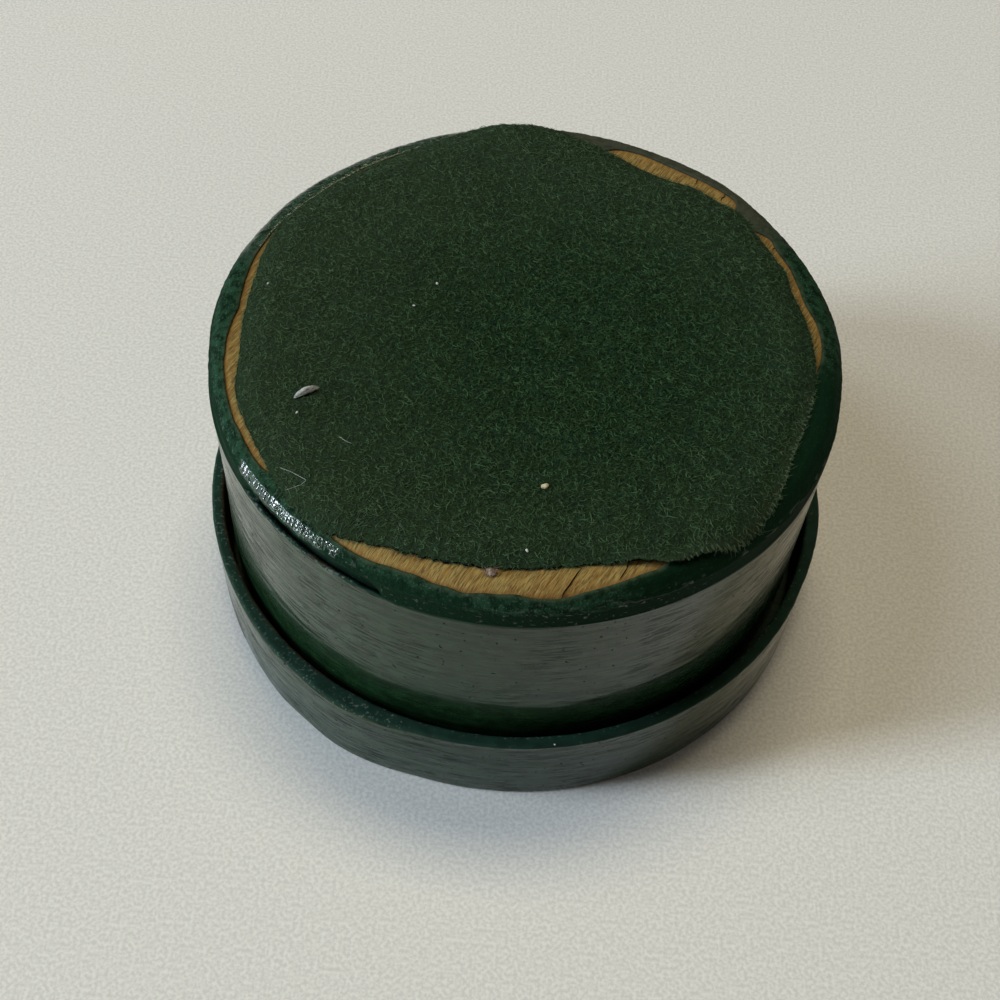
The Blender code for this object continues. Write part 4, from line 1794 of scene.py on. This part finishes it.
@dataclass
class Litter:
    """What has settled on the box: a roll of lint, a seed husk, specks, stray hairs and a fuzzy crumb."""

    finishes: Finishes
    felt: FeltPad
    roll: Outline = ((-31.45, -17.35), (-28.0, -15.1))
    roll_thickness: float = 0.50 * MM
    roll_fibres: int = 130
    husk: tuple[float, float] = (3.93, -29.31)
    husk_size: Triple = (1.05, 0.80, 0.50)
    specks: tuple[Triple, ...] = (
        (-38.51, 4.09, 0.45), (-13.78, 6.38, 0.50), (-16.71, 1.62, 0.40), (-30.58, -19.89, 0.50), (2.10, -39.55, 0.55),
    )
    stray_hairs: tuple[Outline, ...] = (
        ((-31.45, -29.11), (-29.6, -30.0), (-27.53, -31.23), (-28.2, -31.9), (-30.02, -32.29)),
        ((-24.32, -23.50), (-23.8, -23.9), (-23.3, -24.2), (-22.9, -24.4), (-22.42, -24.53)),
    )
    crumb: tuple[float, float] = (-2.29, -42.57)
    crumb_size: Triple = (1.4, 1.05, 0.80)
    crumb_fibres: int = 60
    rim_speck: tuple[float, float] = (8.54, -48.95)
    rim_speck_size: Triple = (0.34, 0.26, 0.20)
    seed: int = 19

    def build(self) -> None:
        """Make each of them where it lies."""
        self.draw = np.random.default_rng(self.seed)
        self.build_roll()
        self.build_hairs()
        husk = lump("seed_husk", self.place(self.husk, 0.22), self.husk_size, 25.0, 91)
        settle(husk, Body.BOX, Slot.FELT, self.finishes.seed)
        for number, (x, y, size) in enumerate(self.specks, start=1):
            shape = (size, size * 0.62, size * 0.5)
            speck = lump(f"speck_{number}", self.place((x, y), 0.12), shape, 60.0 * number, 91 + number)
            settle(speck, Body.BOX, Slot.FELT, self.finishes.lint)
        low = np.array([*self.rim_speck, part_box("lid_band")[1][2] / MM + 0.08]) * MM
        speck = lump("rim_speck", low, self.rim_speck_size, 10.0, 98)
        settle(speck, Body.LID, Slot.LID_PAINT, self.finishes.lint)
        self.build_crumb()

    def place(self, spot: tuple[float, float], above: float) -> Array:
        """A point over the pad, from its place and its height above the wool in millimetres."""
        return self.felt.on_top(np.array(spot[0] * MM), np.array(spot[1] * MM), above * MM)

    def build_roll(self) -> None:
        """A loose white roll of lint, thick in the middle and drawn out at its ends."""
        count, points = self.roll_fibres, 14
        begin = self.draw.uniform(0.0, 0.5, count)[:, None]
        share = begin + self.draw.uniform(0.3, 0.5, count)[:, None] * np.linspace(0.0, 1.0, points)[None, :]
        start, end = (np.array(spot) * MM for spot in self.roll)
        ahead = end - start
        side = unit(np.array([-ahead[1], ahead[0]]))
        thick = self.roll_thickness * np.sin(np.pi * (0.05 + 0.90 * share)) ** 0.8
        angle = self.draw.uniform(0.0, FULL_TURN, count)[:, None] + self.draw.normal(0.0, 3.0, count)[:, None] * share
        out = np.sqrt(self.draw.uniform(0.05, 1.0, count))[:, None] * thick
        away = out * np.cos(angle) + 0.08 * MM * np.sin(np.pi * share)
        x, y = (start[axis] + ahead[axis] * share + side[axis] * away for axis in (0, 1))
        paths = self.felt.on_top(x, y, thick + out * np.sin(angle))
        roll = tubes("lint_roll", paths, tapered(self.draw.uniform(0.025, 0.050, count), points), sides=4)
        settle(roll, Body.BOX, Slot.FELT, self.finishes.lint)

    def build_hairs(self) -> None:
        """Two long pale hairs, one of them bent back on itself."""
        share = np.linspace(0.0, 1.0, 24)
        sway = drift(stacked(share * 6, 0.0, 0.0), 99) * 0.08 * MM
        paths = []
        for knots in self.stray_hairs:
            along = np.linspace(0.0, 1.0, len(knots))
            x, y = (np.interp(share, along, part) * MM for part in np.array(knots).T)
            paths.append(self.felt.on_top(x + sway, y, 0.12 * MM + 0.08 * MM * np.sin(np.pi * share)))
        hairs = tubes("stray_hairs", np.array(paths), tapered(np.full(2, 0.022), len(share)))
        settle(hairs, Body.BOX, Slot.FELT, self.finishes.lint)

    def build_crumb(self) -> None:
        """A pinkish fuzzy crumb on the bare wood at the front."""
        x, y = (part * MM for part in self.crumb)
        centre = np.array([x, y, float(self.felt.board.surface_height(np.hypot(x, y))) + 0.25 * MM])
        crumb = lump("crumb", centre, self.crumb_size, -15.0, 97)
        settle(crumb, Body.BOX, Slot.BARE_WOOD, self.finishes.crumb)
        count, share = self.crumb_fibres, np.linspace(0.0, 1.0, 6)[None, :, None]
        way = unit(self.draw.normal(0.0, 1.0, (count, 3)) * np.array([1.0, 0.8, 0.6]))
        way[:, 2] = np.abs(way[:, 2])
        start = centre + way * np.array([0.65, 0.48, 0.36]) * MM
        curl = self.draw.normal(0.0, 0.25, (count, 1, 3)) * MM * share**2
        paths = start[:, None, :] + way[:, None, :] * 0.35 * MM * share + curl
        paths[..., 2] = np.maximum(paths[..., 2], centre[2] - 0.2 * MM)
        fuzz = tubes("crumb_fuzz", paths, np.full((count, 6), 0.020 * MM))
        settle(fuzz, Body.BOX, Slot.BARE_WOOD, self.finishes.crumb)


@dataclass
class Studio:
    """The pale table, the lights and the camera that stand where the photographer stood."""

    finishes: Finishes
    distance: float = 244.7 * MM
    elevation: float = 0.9653
    aim: Triple = (-2.45 * MM, 0.0, 7.40 * MM)
    roll: float = 0.0602
    focal_pixels: float = 1395.67
    frame_pixels: float = 1000.0
    sensor: float = 36.0
    clip: tuple[float, float] = (0.01, 10.0)
    table_half: float = 1.6
    light_distance: float = 2.6
    lights: tuple[tuple[str, float, float, tuple[float, float], float, Colour], ...] = (
        ("window_sill", 195.0, 9.5, (0.43, 0.72), 41.0, (0.77, 0.89, 1.0)),
        ("window", 190.0, 33.0, (0.39, 0.56), 27.0, (0.77, 0.89, 1.0)),
        ("window_head", 180.0, 54.0, (0.35, 0.82), 11.5, (0.77, 0.89, 1.0)),
        ("ceiling", 84.0, 74.0, (1.10, 0.55), 25.8, (1.0, 0.88, 0.62)),
        ("room", 305.0, 28.0, (1.40, 0.80), 2.6, (1.0, 0.86, 0.68)),
    )
    world_colour: Colour = (1.0, 0.96, 0.90)
    world_strength: float = 0.05

    def build(self) -> None:
        """Set up the camera, the table, the lights and a plain view transform."""
        self.build_camera()
        half = self.table_half
        corners = np.array([(-half, -half, 0.0), (half, -half, 0.0), (half, half, 0.0), (-half, half, 0.0)])
        table = add_piece("table", corners, [[0, 1, 2, 3]])
        table.data.materials.append(self.finishes.table)
        self.build_lights()
        bpy.context.scene.view_settings.view_transform = "Standard"

    def build_camera(self) -> None:
        """The camera, from its distance, elevation, aim, roll and lens."""
        eye = self.distance * Vector((0.0, -math.cos(self.elevation), math.sin(self.elevation)))
        ahead = (Vector(self.aim) - eye).normalized()
        level = ahead.cross(Vector((0.0, 0.0, 1.0))).normalized()
        upright = level.cross(ahead)
        right = math.cos(self.roll) * level + math.sin(self.roll) * upright
        up = -math.sin(self.roll) * level + math.cos(self.roll) * upright
        lens = bpy.data.cameras.new("camera")
        lens.sensor_width = self.sensor
        lens.sensor_fit = "HORIZONTAL"
        lens.lens = self.focal_pixels / self.frame_pixels * self.sensor
        lens.clip_start, lens.clip_end = self.clip
        camera = bpy.data.objects.new("camera", lens)
        camera.matrix_world = Matrix.Translation(eye) @ Matrix((right, up, -ahead)).transposed().to_4x4()
        bpy.context.scene.collection.objects.link(camera)
        bpy.context.scene.camera = camera

    def build_lights(self) -> None:
        """A cool window from the left, a warm soft light from above and behind, and faint warm fills."""
        for name, bearing, elevation, size, power, colour in self.lights:
            turn, slope = math.radians(bearing), math.radians(elevation)
            direction = Vector((math.cos(turn) * math.cos(slope), math.sin(turn) * math.cos(slope), math.sin(slope)))
            lamp = bpy.data.lights.new(name, "AREA")
            lamp.shape = "RECTANGLE"
            lamp.size, lamp.size_y = size
            lamp.energy = power
            lamp.color = colour
            hung = bpy.data.objects.new(name, lamp)
            facing = direction.to_track_quat("Z", "Y").to_matrix().to_4x4()
            hung.matrix_world = Matrix.Translation(direction * self.light_distance) @ facing
            bpy.context.scene.collection.objects.link(hung)
        world = bpy.data.worlds.new("room")
        world.use_nodes = True
        sky = world.node_tree.nodes["Background"]
        sky.inputs["Color"].default_value = (*self.world_colour, 1.0)
        sky.inputs["Strength"].default_value = self.world_strength
        bpy.context.scene.world = world


def main() -> None:
    """Build every part of the scene in order."""
    logging.basicConfig(level=logging.INFO, format="%(name)s: %(message)s")
    finishes = Finishes()
    base = BaseBoard(finishes)
    felt = FeltPad(finishes, base)
    for part in (Studio(finishes), Lid(finishes), BoxHoop(finishes), base, felt, Litter(finishes, felt)):
        log.info("building %s", type(part).__name__)
        part.build()


if __name__ == "__main__":
    main()
